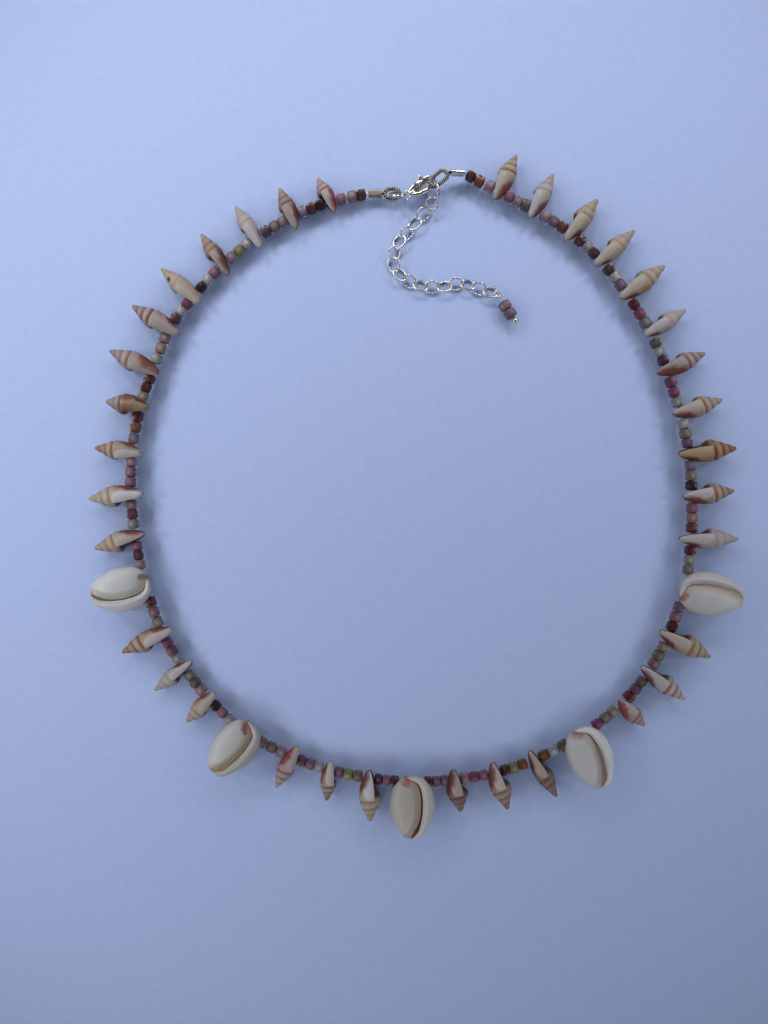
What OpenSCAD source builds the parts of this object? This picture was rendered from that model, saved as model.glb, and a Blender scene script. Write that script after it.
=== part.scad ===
// Shell necklace lying closed on a flat surface: spindle shells and cowries strung on one wire,
// three small stone beads in every gap, a lobster clasp and a short extender chain.
// X runs to the right, Y towards the clasp, Z up from the surface. Millimetres.

/* [Wire] */
// Diameter of the stringing wire
wire_d = 0.5; // [0.3:0.05:0.5]
// Lowest height of the wire's centre above the surface
wire_z_min = 1.75; // [1.7:0.05:1.9]
// How far below a spindle's axis the wire passes through it
wire_drop = 0.4; // [0.3:0.05:0.5]
// Height of the wire's centre inside a cowrie
cowrie_wire_z = 2.7; // [2.6:0.1:2.9]
// Diameter of the hole drilled through each shell
bore_d = 1; // [0.8:0.1:1]

/* [Stone beads] */
// Width of a bead across the wire
bead_w = 2.5; // [2.3:0.05:2.5]
// Diameter of the ball that rounds a bead's corners
bead_round_d = 3.25; // [3:0.05:3.25]
// Shortest bead along the wire
bead_min = 2.2; // [2:0.05:2.3]
// Longest bead along the wire
bead_max = 2.5; // [2.4:0.05:2.6]
// Gap between one bead and the next
bead_gap = 0.16; // [0.1:0.02:0.2]
// Clearance round a bead where a shell is cut away for it
seat_gap = 0.15; // [0.1:0.05:0.2]

/* [Spindle shells] */
// Slope of a spindle's axis, tip down, in degrees
spindle_dip = 3.5; // [0:0.5:5]
// From the wire's crossing to the next bead, on the aperture's side
spindle_lead = 1.1; // [0.9:0.1:1.4]
// From the last bead to the wire's crossing, on the drilled side
spindle_trail = 1.8; // [1.6:0.1:2]
// Length of the aperture, as a share of the shell's length
aperture_share = 0.46; // [0.3:0.02:0.5]
// Width of the aperture, as a share of the shell's width
aperture_width = 0.26; // [0.2:0.02:0.3]

/* [Cowries] */
// Height of a cowrie's full dome, before its flat face is cut
cowrie_h = 7.6; // [7:0.1:8]
// Height of the flat slit face above the middle of the dome
cowrie_face = 2.9; // [2.7:0.1:3.1]
// How far the outer end is lifted, in degrees
cowrie_rise = 6; // [0:1:8]
// Thickness of the shell wall
cowrie_wall = 1.1; // [0.9:0.1:1.3]
// Width of the slit
slit_w = 0.9; // [0.7:0.1:1.1]
// How far the slit bows out of its own chord
slit_bow = 1.5; // [1:0.1:2]
// From the wire's crossing to the nearest bead
cowrie_lead = 3.2; // [3:0.1:3.4]

/* [Clasp] */
// Direction of the lobster clasp from its tail eye to its nose, in degrees from X
clasp_turn = 29; // [29:1:29]
// From the middle of the tail eye to the middle of the nose
clasp_l = 6.3; // [6.3:0.1:6.3]
// Width of the clasp's body
clasp_w = 3.3; // [3.3:0.1:3.3]
// Thickness of the clasp's body
clasp_t = 1.3; // [1.2:0.05:1.3]
// Thickness of the lever
lever_t = 0.7; // [0.6:0.05:0.7]
// Diameter of the lever's pivot pin
pin_d = 0.6; // [0.5:0.05:0.6]

/* [Extender chain] */
// Diameter of the round tube that holds the links
chain_d = 1.6; // [1.4:0.1:1.6]
// Outer diameter of the first link
chain_ring_d = 3.2; // [3:0.1:3.2]
// Diameter of the ball that ends the head pin
ball_d = 1.5; // [1.3:0.1:1.5]

/* [Hidden] */
$fn = 48;
SPINDLE = 0;
COWRIE = 1;

// Every shell in turn from the clasp's left side, down the left, along the bottom and up the right:
// wire crossing x, y, kind, heading of the outer tip in degrees, length, width,
// share of the length inside the wire, and roll of the aperture upwards in degrees.
shells = [
    [-20.0, 67.5, SPINDLE, 115, 9.3, 3.7, 0.32, 5],
    [-28.7, 64.1, SPINDLE, 112, 10.6, 4.0, 0.32, 5],
    [-37.0, 59.1, SPINDLE, 121, 11.7, 3.9, 0.24, 5],
    [-44.6, 52.9, SPINDLE, 123, 11.8, 4.0, 0.25, 5],
    [-51.2, 45.7, SPINDLE, 138, 12.3, 4.3, 0.20, 5],
    [-56.6, 38.3, SPINDLE, 148, 13.0, 4.6, 0.22, 5],
    [-60.3, 28.7, SPINDLE, 155, 12.9, 4.7, 0.14, 5],
    [-63.3, 20.5, SPINDLE, 171, 10.2, 4.8, 0.22, 5],
    [-65.1, 10.2, SPINDLE, 174, 11.1, 4.5, 0.22, 10],
    [-65.3, 0.3, SPINDLE, 185, 12.85, 5.0, 0.24, 20],
    [-64.3, -9.3, SPINDLE, 196, 12.2, 4.8, 0.20, 40],
    [-62.0, -19.9, COWRIE, 192, 13.7, 10.3, 0.085, 0],
    [-58.1, -31.4, SPINDLE, 205, 13.1, 4.6, 0.21, 20],
    [-53.3, -39.4, SPINDLE, 217, 11.1, 3.9, 0.23, 35],
    [-47.5, -46.5, SPINDLE, 225, 9.7, 3.9, 0.23, 20],
    [-39.1, -53.8, COWRIE, 225, 13.9, 9.8, 0.16, 0],
    [-28.5, -59.8, SPINDLE, 242, 11.2, 4.0, 0.28, 35],
    [-19.8, -62.8, SPINDLE, 264, 9.4, 3.8, 0.24, 35],
    [-10.6, -64.4, SPINDLE, 270, 12.1, 5.0, 0.17, 50],
    [-1.0, -65.3, COWRIE, 270, 14.5, 10.3, 0.095, 0],
    [8.9, -64.8, SPINDLE, 280, 10.0, 4.8, 0.25, 40],
    [18.2, -63.2, SPINDLE, 288, 11.6, 4.8, 0.23, 30],
    [27.2, -60.3, SPINDLE, 300, 12.7, 4.2, 0.21, 40],
    [37.6, -54.5, COWRIE, 291, 14.4, 10.3, 0.107, 0],
    [47.2, -47.6, SPINDLE, 316, 8.6, 3.9, 0.15, 10],
    [53.2, -40.1, SPINDLE, 322, 13.0, 4.5, 0.18, 15],
    [57.6, -31.7, SPINDLE, 332, 13.5, 5.0, 0.18, 15],
    [61.2, -21.0, COWRIE, 353, 15.2, 10.1, 0.085, 0],
    [62.9, -9.6, SPINDLE, 359, 14.2, 4.8, 0.22, 15],
    [63.0, 0.2, SPINDLE, 6, 12.2, 4.7, 0.19, 15],
    [62.3, 10.0, SPINDLE, 5, 13.8, 5.1, 0.20, 10],
    [60.3, 19.3, SPINDLE, 16, 12.2, 4.6, 0.16, 10],
    [57.3, 29.0, SPINDLE, 23, 12.4, 4.4, 0.21, 10],
    [53.6, 37.8, SPINDLE, 31, 11.7, 4.1, 0.17, 10],
    [48.1, 46.4, SPINDLE, 36, 13.3, 4.6, 0.17, 10],
    [42.2, 54.1, SPINDLE, 41, 12.7, 4.3, 0.17, 10],
    [35.3, 60.3, SPINDLE, 51, 12.7, 4.4, 0.20, 10],
    [27.0, 65.6, SPINDLE, 62, 11.9, 4.3, 0.20, 10],
    [19.0, 69.8, SPINDLE, 65, 11.8, 4.3, 0.20, 10]
];
function x_of(s) = s[0];
function y_of(s) = s[1];
function kind_of(s) = s[2];
function heading_of(s) = s[3];
function length_of(s) = s[4];
function width_of(s) = s[5];
function inner_of(s) = s[6];
function roll_of(s) = s[7];

// Outline of a spindle: share of the length from the inner end, share of the half width.
// The steps after the widest point are the sutures between the whorls of the spire.
spindle_outline = [
    [0, 0.22], [0.05, 0.40], [0.15, 0.62], [0.25, 0.80], [0.36, 0.94], [0.48, 1.0], [0.55, 0.96],
    [0.57, 0.88], [0.63, 0.85], [0.69, 0.73], [0.70, 0.67], [0.76, 0.62], [0.805, 0.50],
    [0.81, 0.45], [0.86, 0.40], [0.90, 0.28], [0.95, 0.19], [1, 0.05]
];
widest = 0.48;
aperture_mid = 0.27;
aperture_floor = 0.1;
rest_gap = 0.02;
// A cowrie's slit: its chord as a share of the length, how far it stands off the middle as a share of
// the width, and the height that it is cut down to
slit_share = 0.86;
slit_offset = 0.2;
slit_floor = 1;
// Each bead is turned about the wire by this much more than the one before
bead_twist = 37;

left_mouth = [-11.0, 69.5, 1.65];
left_crimp_end = [-7.7, 69.6, 1.5];
right_mouth = [10.8, 73.9, 2.2];
right_crimp_end = [7.7, 73.8, 2.9];
mouth_gap = 0.4;
mouth_lead = 0.9;
kink_d = 0.62;
crimp_l = 3.1;
crimp_w = 2.0;
crimp_t = 1.15;
crimp_bore_d = 0.7;
crimp_waist_l = 0.3;
crimp_waist_in = 0.08;
wire_in_crimp = 1.3;
wire_in_bead = 0.3;
wire_short = 0.1;
coil_wire_r = 0.2;
coil_wire_in = 0.5;

coil_r = 0.36;
coil_loop_r = 1.05;
left_coil = [-6.1, 69.6, 1.45];
left_coil_l = 1.15;
right_coil_far = [4.1, 71.6, 3.3];
right_coil_near = [5.9, 73.1, 3.2];

clasp_eye = [-2.3, 68.9, 2.1];
clasp_eye_r = 1.12;
clasp_eye_bore = 0.78;
clasp_eye_t = 0.9;
clasp_back = 2.9;
clasp_arm = 0.7;
opening_l = 0.8;
pivot = [3.3, 0.95];
pivot_gap = 0.06;
slot_start = [2.3, 0.05];
slot_gap = 0.05;
lever_tip = 6.75;
hook_start = 6.9;
tab_h = 2.5;

tail_ring_r = 1.85;
tail_ring_wire = 0.27;
tail_ring_at = [-4.12, 69.2, 1.9];
tail_ring_turn = -5;
tail_ring_tilt = -56;

jump_ring_r = 2.3;
jump_ring_wire = 0.28;
jump_ring_at = [3.9, 69.43, 2.4];
jump_ring_turn = -80;
jump_ring_tilt = 65;

chain_ring_wire = 0.24;
chain_ring_r = chain_ring_d / 2 - chain_ring_wire;
chain_ring_at = [3.62, 66.9, 2.2];
chain_ring_turn = 20;
chain_ring_tilt = 25;

// Route of the extender chain, through the middles of its links
chain_route = [
    [2.5, 65.5, 1.3], [1.1, 64.6, 0.95], [-0.7, 62.2, 0.9], [-2.1, 60.8, 0.9], [-4.2, 58.3, 0.9],
    [-5.1, 55.5, 0.9], [-5.4, 52.8, 0.9], [-3.5, 51.3, 0.9], [-1.9, 49.5, 0.9], [0.9, 48.6, 0.9],
    [3.7, 48.1, 0.9], [6.5, 48.2, 0.9], [9.5, 49.1, 0.9], [11.5, 49.2, 0.9], [13.9, 47.9, 0.9],
    [16.6, 47.4, 0.95], [17.4, 47.1, 1.0]
];
chain_sides = 8;
pin_start = [18.7, 46.5, 1.35];
pin_end = [22.7, 40.3, 1.65];
pin_loop_r = 0.75;
pin_loop_wire = 0.24;
pin_r = 0.2;
end_bead_l = 2.15;
end_bead_places = [3.15, 5.4];
end_bead_bore = 0.3;

SHELLS = len(shells);
spindles = [for (i = [0:SHELLS - 1]) if (kind_of(shells[i]) == SPINDLE) i];
cowries = [for (i = [0:SHELLS - 1]) if (kind_of(shells[i]) == COWRIE) i];

function numbered(name, n) = str(name, n);
function spindle_name(n) = str("spindle_shell_", n < 10 ? "0" : "", n);

// Height of a spindle's axis over the wire's crossing, so that its belly just clears the surface
function axis_z(s) = width_of(s) / 2 * cos(spindle_dip)
    + (widest - inner_of(s)) * length_of(s) * sin(spindle_dip) + rest_gap;
function crossing_z(s) = kind_of(s) == COWRIE ? cowrie_wire_z : max(wire_z_min, axis_z(s) - wire_drop);

// The wire's stops: its left end, each shell's crossing, and its right end
function unit(v) = v / norm(v);
left_end = left_mouth + mouth_gap * unit(left_mouth - left_crimp_end);
right_end = right_mouth + mouth_gap * unit(right_mouth - right_crimp_end);
stops = concat([left_end], [for (s = shells) [x_of(s), y_of(s), crossing_z(s)]], [right_end]);

// A point on the smooth wire between stop g and the next, at the share t of the way
function on_wire(g, t) =
    let (a = stops[max(g - 1, 0)], b = stops[g], c = stops[g + 1], d = stops[min(g + 2, SHELLS + 1)])
    0.5 * (2 * b + (c - a) * t + (2 * a - 5 * b + 4 * c - d) * t * t
        + (3 * b - a - 3 * c + d) * t * t * t);

// Beads fill the gap after stop g, between what the shells on either side leave free
function is_cowrie(i) = kind_of(shells[i]) == COWRIE;
function lead(g) = g == 0 ? mouth_lead : is_cowrie(g - 1) ? cowrie_lead : spindle_lead;
function trail(g) = g == SHELLS ? mouth_lead : is_cowrie(g) ? cowrie_lead : spindle_trail;
function span(g) = norm(stops[g + 1] - stops[g]);
function bead_l(g) = min(max((span(g) - lead(g) - trail(g)) / 3, bead_min), bead_max);
function bead_t(g, k) =
    (lead(g) * (span(g) - 3 * bead_l(g)) / (lead(g) + trail(g)) + (k + 0.5) * bead_l(g)) / span(g);
function bead_at(g, k) = on_wire(g, bead_t(g, k));

// Puts children at p with their X axis pointing to q
module aim(p, q) {
    v = q - p;
    translate(p) rotate([0, -atan2(v.z, norm([v.x, v.y])), atan2(v.y, v.x)]) children();
}

module rod(p, q, r, before = 0, after = 0) {
    aim(p, q) translate([-before, 0, 0]) rotate([0, 90, 0]) cylinder(r = r, h = norm(q - p) + before + after);
}

module torus(ring_r, wire_r, angle = 360) {
    rotate_extrude(angle = angle) translate([ring_r, 0]) circle(r = wire_r);
}

module rounded_bead(l) {
    intersection() {
        cube([l - bead_gap, bead_w, bead_w], center = true);
        sphere(d = bead_round_d);
    }
}

// Room for the bead that stands against a shell, seen from the point where its wire comes from
module bead_seat(from, bead, l) {
    aim(from, bead) translate([norm(bead - from) - l / 2 - seat_gap, 0, 0]) rotate([0, 90, 0])
        cylinder(d = bead_round_d + 2 * seat_gap, h = 3 * l);
}

module lens(l, w) {
    r = (l * l + w * w) / (4 * w);
    intersection() {
        translate([0, r - w / 2]) circle(r = r);
        translate([0, w / 2 - r]) circle(r = r);
    }
}

module spindle_blank(s) {
    l = length_of(s);
    w = width_of(s);
    inner = inner_of(s);
    difference() {
        rotate([0, 90, 0]) rotate_extrude() polygon(concat(
            [[0, -inner * l]],
            [for (p = spindle_outline) [p[1] * w / 2, (p[0] - inner) * l]],
            [[0, (1 - inner) * l]]));
        translate([(aperture_mid - inner) * l, aperture_floor * w, 0]) rotate([-90, 0, 0])
            linear_extrude(w) lens(aperture_share * l, aperture_width * w);
    }
}

// Spindle shell n, counted along the wire: mouth towards the next bead, drilled on the other side
module spindle_shell(n) {
    i = spindles[n - 1];
    s = shells[i];
    before = bead_at(i, 2);
    after = bead_at(i + 1, 0);
    color("ivory") difference() {
        translate([x_of(s), y_of(s), axis_z(s)]) rotate([0, spindle_dip, heading_of(s)])
            rotate([roll_of(s), 0, 0]) spindle_blank(s);
        rod(before, after, bore_d / 2);
        bead_seat(after, before, bead_l(i));
        bead_seat(before, after, bead_l(i + 1));
    }
}

module egg(l, w, h) {
    scale([l / 2, w / 2, h / 2]) sphere(r = 1);
}

module below(z, size) {
    translate([-size, -size, z - 2 * size]) cube(2 * size);
}

module cowrie_blank(s) {
    l = length_of(s);
    w = width_of(s);
    slit_l = slit_share * l;
    slit_r = slit_l * slit_l / (8 * slit_bow) + slit_bow / 2;
    half_angle = asin(slit_l / 2 / slit_r);
    slit_y = slit_offset * w;
    difference() {
        intersection() {
            egg(l, w, cowrie_h);
            below(cowrie_face, l);
        }
        intersection() {
            egg(l - 2 * cowrie_wall, w - 2 * cowrie_wall, cowrie_h - 2 * cowrie_wall);
            below(cowrie_face - cowrie_wall, l);
        }
        translate([0, slit_y - slit_r, slit_floor]) rotate([0, 0, 90 - half_angle])
            rotate_extrude(angle = 2 * half_angle) translate([slit_r - slit_w / 2, 0])
                square([slit_w, cowrie_h]);
    }
}

// Cowrie n, lying on its dome with the slit up and held by the wire near its inner end
module cowrie(n) {
    i = cowries[n - 1];
    s = shells[i];
    l = length_of(s);
    before = bead_at(i, 2);
    after = bead_at(i + 1, 0);
    middle = stops[i + 1];
    reach = (0.5 - inner_of(s)) * l;
    centre_z = norm([l / 2 * sin(cowrie_rise), cowrie_h / 2 * cos(cowrie_rise)]) + rest_gap;
    color("whitesmoke") difference() {
        translate([x_of(s), y_of(s), 0]) rotate([0, 0, heading_of(s)]) translate([reach, 0, centre_z])
            rotate([0, -cowrie_rise, 0]) cowrie_blank(s);
        rod(before, middle, bore_d / 2, 0, bore_d / 2);
        rod(after, middle, bore_d / 2, 0, bore_d / 2);
        bead_seat(middle, before, bead_l(i));
        bead_seat(middle, after, bead_l(i + 1));
    }
}

// Strand n: the beads and their wire from one cowrie to the next, or to a crimp at either end
module bead_strand(n) {
    ends = concat([0], [for (i = cowries) i + 1], [SHELLS + 1]);
    first = ends[n - 1];
    last = ends[n];
    path = concat([stops[first]], [for (g = [first:last - 1]) for (k = [0:2]) bead_at(g, k)], [stops[last]]);
    color("rosybrown") {
        for (g = [first:last - 1]) for (k = [0:2])
            aim(bead_at(g, k), on_wire(g, bead_t(g, k) + 0.02)) rotate([bead_twist * (3 * g + k), 0, 0])
                rounded_bead(bead_l(g));
        for (j = [0:len(path) - 2])
            rod(path[j], path[j + 1], wire_d / 2, j == 0 ? -wire_short : -wire_in_bead,
                j == len(path) - 2 ? -wire_short : -wire_in_bead);
        if (first == 0) crimped_end(left_end, left_crimp_end);
        if (last == SHELLS + 1) crimped_end(right_end, right_crimp_end);
    }
}

// The wire bends at the crimp's mouth and runs on inside it
module crimped_end(mouth, crimp_end) {
    sphere_at(mouth, kink_d / 2);
    rod(mouth, mouth + (mouth_gap + wire_in_crimp) * unit(crimp_end - mouth), wire_d / 2, -wire_short);
}

module sphere_at(p, r) {
    translate(p) sphere(r = r);
}

module crimp_section(w, t) {
    difference() {
        union() {
            square([w - t, t], center = true);
            for (side = [-1, 1]) translate([side * (w - t) / 2, 0]) circle(d = t);
        }
        circle(d = crimp_bore_d);
    }
}

// Two flattened tubes in line, with a waist between them; turn sets which side is up
module crimp(mouth, end, turn) {
    tube_l = (crimp_l - crimp_waist_l) / 2;
    color("silver") aim(mouth, end) rotate([turn, 0, 0]) rotate([90, 0, 90]) {
        linear_extrude(tube_l) crimp_section(crimp_w, crimp_t);
        translate([0, 0, tube_l]) linear_extrude(crimp_waist_l)
            crimp_section(crimp_w - 2 * crimp_waist_in, crimp_t - 2 * crimp_waist_in);
        translate([0, 0, crimp_l - tube_l]) linear_extrude(tube_l) crimp_section(crimp_w, crimp_t);
    }
}

// A long loop with its round ends at the origin and at l along X
module long_loop(l, loop_r, r) {
    rotate([0, 0, 90]) torus(loop_r, r, 180);
    translate([l, 0, 0]) rotate([0, 0, -90]) torus(loop_r, r, 180);
    for (side = [-1, 1]) translate([0, side * loop_r, 0]) rotate([0, 90, 0]) cylinder(r = r, h = l);
}

module coil_loop_left() {
    color("silver") {
        translate(left_coil) long_loop(left_coil_l, coil_loop_r, coil_r);
        rod(left_coil - [coil_loop_r, 0, 0], left_crimp_end, coil_wire_r, 0, coil_wire_in);
    }
}

module coil_loop_right() {
    l = norm(right_coil_near - right_coil_far);
    tail = right_coil_near + coil_loop_r * unit(right_coil_near - right_coil_far);
    color("silver") {
        aim(right_coil_far, right_coil_near) long_loop(l, coil_loop_r, coil_r);
        rod(tail, right_crimp_end, coil_wire_r, 0, coil_wire_in);
    }
}

module ring(at, turn, tilt, ring_r, wire_r) {
    color("silver") translate(at) rotate([tilt, 0, turn]) torus(ring_r, wire_r);
}

module clasp_outline() {
    r = clasp_w / 2;
    circle(r = clasp_eye_r);
    polygon([[0.4, -0.8], [2.4, -1.45], [2.4, 1.45], [0.4, 0.8]]);
    for (x = [clasp_back, clasp_l]) translate([x, 0]) circle(r = r);
    translate([clasp_back, -r]) square([clasp_l - clasp_back, clasp_w]);
}

module clasp_opening() {
    r = clasp_w / 2 - clasp_arm;
    for (x = [clasp_l - opening_l, clasp_l]) translate([x, 0]) circle(r = r);
    translate([clasp_l - opening_l, -r]) square([opening_l, 2 * r]);
}

module clasp_frame() {
    translate(clasp_eye) rotate([0, 0, clasp_turn]) children();
}

module clasp_body() {
    slot_t = lever_t + 2 * slot_gap;
    color("silver") clasp_frame() {
        difference() {
            translate([0, 0, -clasp_t / 2]) linear_extrude(clasp_t) difference() {
                clasp_outline();
                circle(r = clasp_eye_bore);
                clasp_opening();
                translate([clasp_l - opening_l, 0]) square([hook_start - clasp_l + opening_l, clasp_w]);
            }
            translate([slot_start.x, slot_start.y, -slot_t / 2])
                cube([clasp_l - slot_start.x, clasp_w, slot_t]);
            for (z = [clasp_eye_t / 2, -clasp_eye_t / 2 - clasp_t]) translate([-clasp_w, -clasp_w, z])
                cube([clasp_w + clasp_eye_r, 2 * clasp_w, clasp_t]);
        }
        translate([pivot.x, pivot.y, -clasp_t / 2]) cylinder(d = pin_d, h = clasp_t);
    }
}

// The spring lever that closes the clasp's mouth; its tip swings inwards about the pivot pin
module clasp_lever() {
    color("silver") clasp_frame() difference() {
        translate([0, 0, -lever_t / 2]) linear_extrude(lever_t) polygon([
            [2.75, 1.25], [2.6, 0.9], [2.8, 0.45], [3.3, 0.25], [3.9, 0.6], [4.5, 1.0], [lever_tip, 1.0],
            [lever_tip, 1.4], [6.2, 1.65], [5.5, 1.7], [4.9, tab_h], [4.2, tab_h], [3.9, 1.6], [3.3, 1.65]
        ]);
        translate([pivot.x, pivot.y, -clasp_t]) cylinder(d = pin_d + 2 * pivot_gap, h = 2 * clasp_t);
    }
}

// The links as one tube along their route, with one ring of corners at every middle of a link
module extender_chain() {
    rings = len(chain_route);
    corners = [
        for (i = [0:rings - 1])
            let (
                p = chain_route[i],
                v = unit(chain_route[min(i + 1, rings - 1)] - chain_route[max(i - 1, 0)]),
                side = unit(cross([0, 0, 1], v)),
                up = cross(v, side)
            )
            for (j = [0:chain_sides - 1])
                p + chain_d / 2 * (cos(360 * j / chain_sides) * side + sin(360 * j / chain_sides) * up)
    ];
    walls = [
        for (i = [0:rings - 2]) for (j = [0:chain_sides - 1])
            let (k = (j + 1) % chain_sides)
            [i * chain_sides + j, i * chain_sides + k, (i + 1) * chain_sides + k, (i + 1) * chain_sides + j]
    ];
    caps = [
        [for (j = [chain_sides - 1:-1:0]) j],
        [for (j = [0:chain_sides - 1]) (rings - 1) * chain_sides + j]
    ];
    color("silver") polyhedron(corners, concat(walls, caps));
}

module head_pin() {
    color("silver") {
        translate(pin_start) torus(pin_loop_r, pin_loop_wire);
        rod(pin_start, pin_end, pin_r, -pin_loop_r, 0);
        sphere_at(pin_end, ball_d / 2);
    }
}

module end_bead(n) {
    color("rosybrown") aim(pin_start, pin_end) translate([end_bead_places[n - 1], 0, 0]) difference() {
        rounded_bead(end_bead_l);
        rotate([0, 90, 0]) cylinder(r = end_bead_bore, h = 2 * end_bead_l, center = true);
    }
}

for (n = [1:len(spindles)]) spindle_shell(n);
for (n = [1:len(cowries)]) cowrie(n);
for (n = [1:len(cowries) + 1]) bead_strand(n);
crimp(left_mouth, left_crimp_end, 0);  // crimp_left
crimp(right_mouth, right_crimp_end, 90);  // crimp_right
coil_loop_left();
coil_loop_right();
ring(tail_ring_at, tail_ring_turn, tail_ring_tilt, tail_ring_r, tail_ring_wire);  // tail_ring
clasp_body();
clasp_lever();
ring(jump_ring_at, jump_ring_turn, jump_ring_tilt, jump_ring_r, jump_ring_wire);  // jump_ring
ring(chain_ring_at, chain_ring_turn, chain_ring_tilt, chain_ring_r, chain_ring_wire);  // chain_ring
extender_chain();
head_pin();
end_bead(1);  // end_bead_1
end_bead(2);  // end_bead_2
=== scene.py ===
# Shell necklace: the looks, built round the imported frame. Lengths are in mm until a piece is placed.
import math

import bpy
from mathutils import Matrix, Vector


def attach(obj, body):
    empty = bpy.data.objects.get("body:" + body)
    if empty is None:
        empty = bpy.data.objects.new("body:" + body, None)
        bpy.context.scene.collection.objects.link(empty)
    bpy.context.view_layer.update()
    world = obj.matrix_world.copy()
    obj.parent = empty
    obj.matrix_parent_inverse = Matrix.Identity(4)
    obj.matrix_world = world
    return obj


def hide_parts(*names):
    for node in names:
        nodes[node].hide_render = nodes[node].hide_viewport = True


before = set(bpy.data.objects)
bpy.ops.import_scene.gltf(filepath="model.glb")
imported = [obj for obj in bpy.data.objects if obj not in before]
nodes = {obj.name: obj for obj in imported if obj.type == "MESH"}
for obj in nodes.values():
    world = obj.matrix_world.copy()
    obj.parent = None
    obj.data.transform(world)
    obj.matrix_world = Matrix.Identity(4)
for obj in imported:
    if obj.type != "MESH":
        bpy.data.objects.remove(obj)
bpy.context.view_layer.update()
mm = 0.001


# Small helpers

def deselectAll():
    bpy.ops.object.select_all(action="DESELECT")


def makeActive(piece):
    deselectAll()
    piece.select_set(True)
    bpy.context.view_layer.objects.active = piece


def inEditMode(piece, *steps):
    makeActive(piece)
    bpy.ops.object.mode_set(mode="EDIT")
    for step in steps:
        step()
    bpy.ops.object.mode_set(mode="OBJECT")


def selectEdges(piece, wanted):
    mesh = piece.data
    bpy.context.tool_settings.mesh_select_mode = (False, True, False)
    for part in (mesh.vertices, mesh.edges, mesh.polygons):
        part.foreach_set("select", [False] * len(part))
    for edge in mesh.edges:
        edge.select = wanted(*[mesh.vertices[v].co for v in edge.vertices])


def cutAway(piece, tool):
    cut = piece.modifiers.new("cut", "BOOLEAN")
    cut.operation = "DIFFERENCE"
    cut.object = tool
    makeActive(piece)
    bpy.ops.object.modifier_apply(modifier=cut.name)
    bpy.data.objects.remove(tool)


def tidyMesh(piece, mergeWithin):
    inEditMode(
        piece,
        lambda: bpy.ops.mesh.select_all(action="SELECT"),
        lambda: bpy.ops.mesh.remove_doubles(threshold=mergeWithin),
        lambda: bpy.ops.mesh.dissolve_degenerate(threshold=mergeWithin / 2),
        lambda: bpy.ops.mesh.normals_make_consistent(inside=False),
    )


def smooth(piece, angle=40):
    makeActive(piece)
    bpy.ops.object.shade_smooth_by_angle(angle=math.radians(angle))


def toMetres(piece):
    piece.data.transform(Matrix.Scale(mm, 4))


def newPiece(name, data):
    piece = bpy.data.objects.new(name, data)
    bpy.context.scene.collection.objects.link(piece)
    return piece


def copyOf(master, name, place):
    piece = newPiece(name, master.data.copy())
    piece.data.transform(place)
    return piece


def meshOfCurve(name, curve, mergeWithin):
    makeActive(newPiece(name, curve))
    bpy.ops.object.convert(target="MESH")
    tidyMesh(bpy.context.object, mergeWithin)
    return bpy.context.object


def cylinderAlongX(sides, radius, length):
    deselectAll()
    bpy.ops.mesh.primitive_cylinder_add(
        vertices=sides, radius=radius, depth=length, rotation=(0, math.pi / 2, 0))
    bpy.ops.object.transform_apply(location=False, rotation=True, scale=False)
    return bpy.context.object


def joined(parts, name):
    makeActive(parts[0])
    for part in parts:
        part.select_set(True)
    bpy.ops.object.join()
    parts[0].name = name
    return parts[0]


def setTrait(piece, name, values, kind="FLOAT"):
    trait = piece.data.attributes.get(name) or piece.data.attributes.new(name, kind, "POINT")
    trait.data.foreach_set("color" if kind == "FLOAT_COLOR" else "value", values)


def smoothStep(low, high, value):
    t = min(max((value - low) / (high - low), 0), 1)
    return t * t * (3 - 2 * t)


def hump(value, middle, spread):
    return math.exp(-(((value - middle) / spread) ** 2))


def between(a, b, share):
    return a + (b - a) * share


def curveAt(points, at):
    # a smooth line through (place, value) pairs
    last = len(points) - 1
    k = max(i for i in range(last) if i == 0 or points[i][0] <= at)
    (x0, y0), (x1, y1) = points[k], points[k + 1]

    def slope(i):
        (xa, ya), (xb, yb) = points[max(i - 1, 0)], points[min(i + 1, last)]
        return (yb - ya) / (xb - xa)

    t = min(max((at - x0) / (x1 - x0), 0), 1)
    span = x1 - x0
    return (
        (2 * t**3 - 3 * t**2 + 1) * y0
        + (t**3 - 2 * t**2 + t) * span * slope(k)
        + (3 * t**2 - 2 * t**3) * y1
        + (t**3 - t**2) * span * slope(k + 1)
    )


def aimed(start, end):
    # a frame at start whose X axis points to end
    way = end - start
    dip = -math.atan2(way.z, math.hypot(way.x, way.y))
    heading = math.atan2(way.y, way.x)
    return Matrix.Translation(start) @ Matrix.Rotation(heading, 4, "Z") @ Matrix.Rotation(dip, 4, "Y")


def scaled(x, y, z):
    return Matrix.Diagonal((x, y, z, 1))


def turned(degrees, axis):
    return Matrix.Rotation(math.radians(degrees), 4, axis)


def linear(hexColour):
    parts = [int(hexColour[i:i + 2], 16) / 255 for i in (1, 3, 5)]
    return (*[p / 12.92 if p <= 0.04045 else ((p + 0.055) / 1.055) ** 2.4 for p in parts], 1)


# Materials

def newMaterial(name):
    material = bpy.data.materials.new(name)
    material.use_nodes = True
    material.node_tree.nodes.clear()
    return material, material.node_tree


def addNode(tree, kind, inputs, out=0, **settings):
    node = tree.nodes.new("ShaderNode" + kind)
    for name, value in settings.items():
        setattr(node, name, value)
    for socket, value in inputs.items():
        if isinstance(value, bpy.types.NodeSocket):
            tree.links.new(value, node.inputs[socket])
        else:
            node.inputs[socket].default_value = value
    return node.outputs[out] if node.outputs else node


# settings that many nodes share
rgbMix = {"out": 2, "data_type": "RGBA"}
softEdge = {"interpolation_type": "SMOOTHSTEP"}
evenEdge = {"interpolation_type": "LINEAR"}

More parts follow.
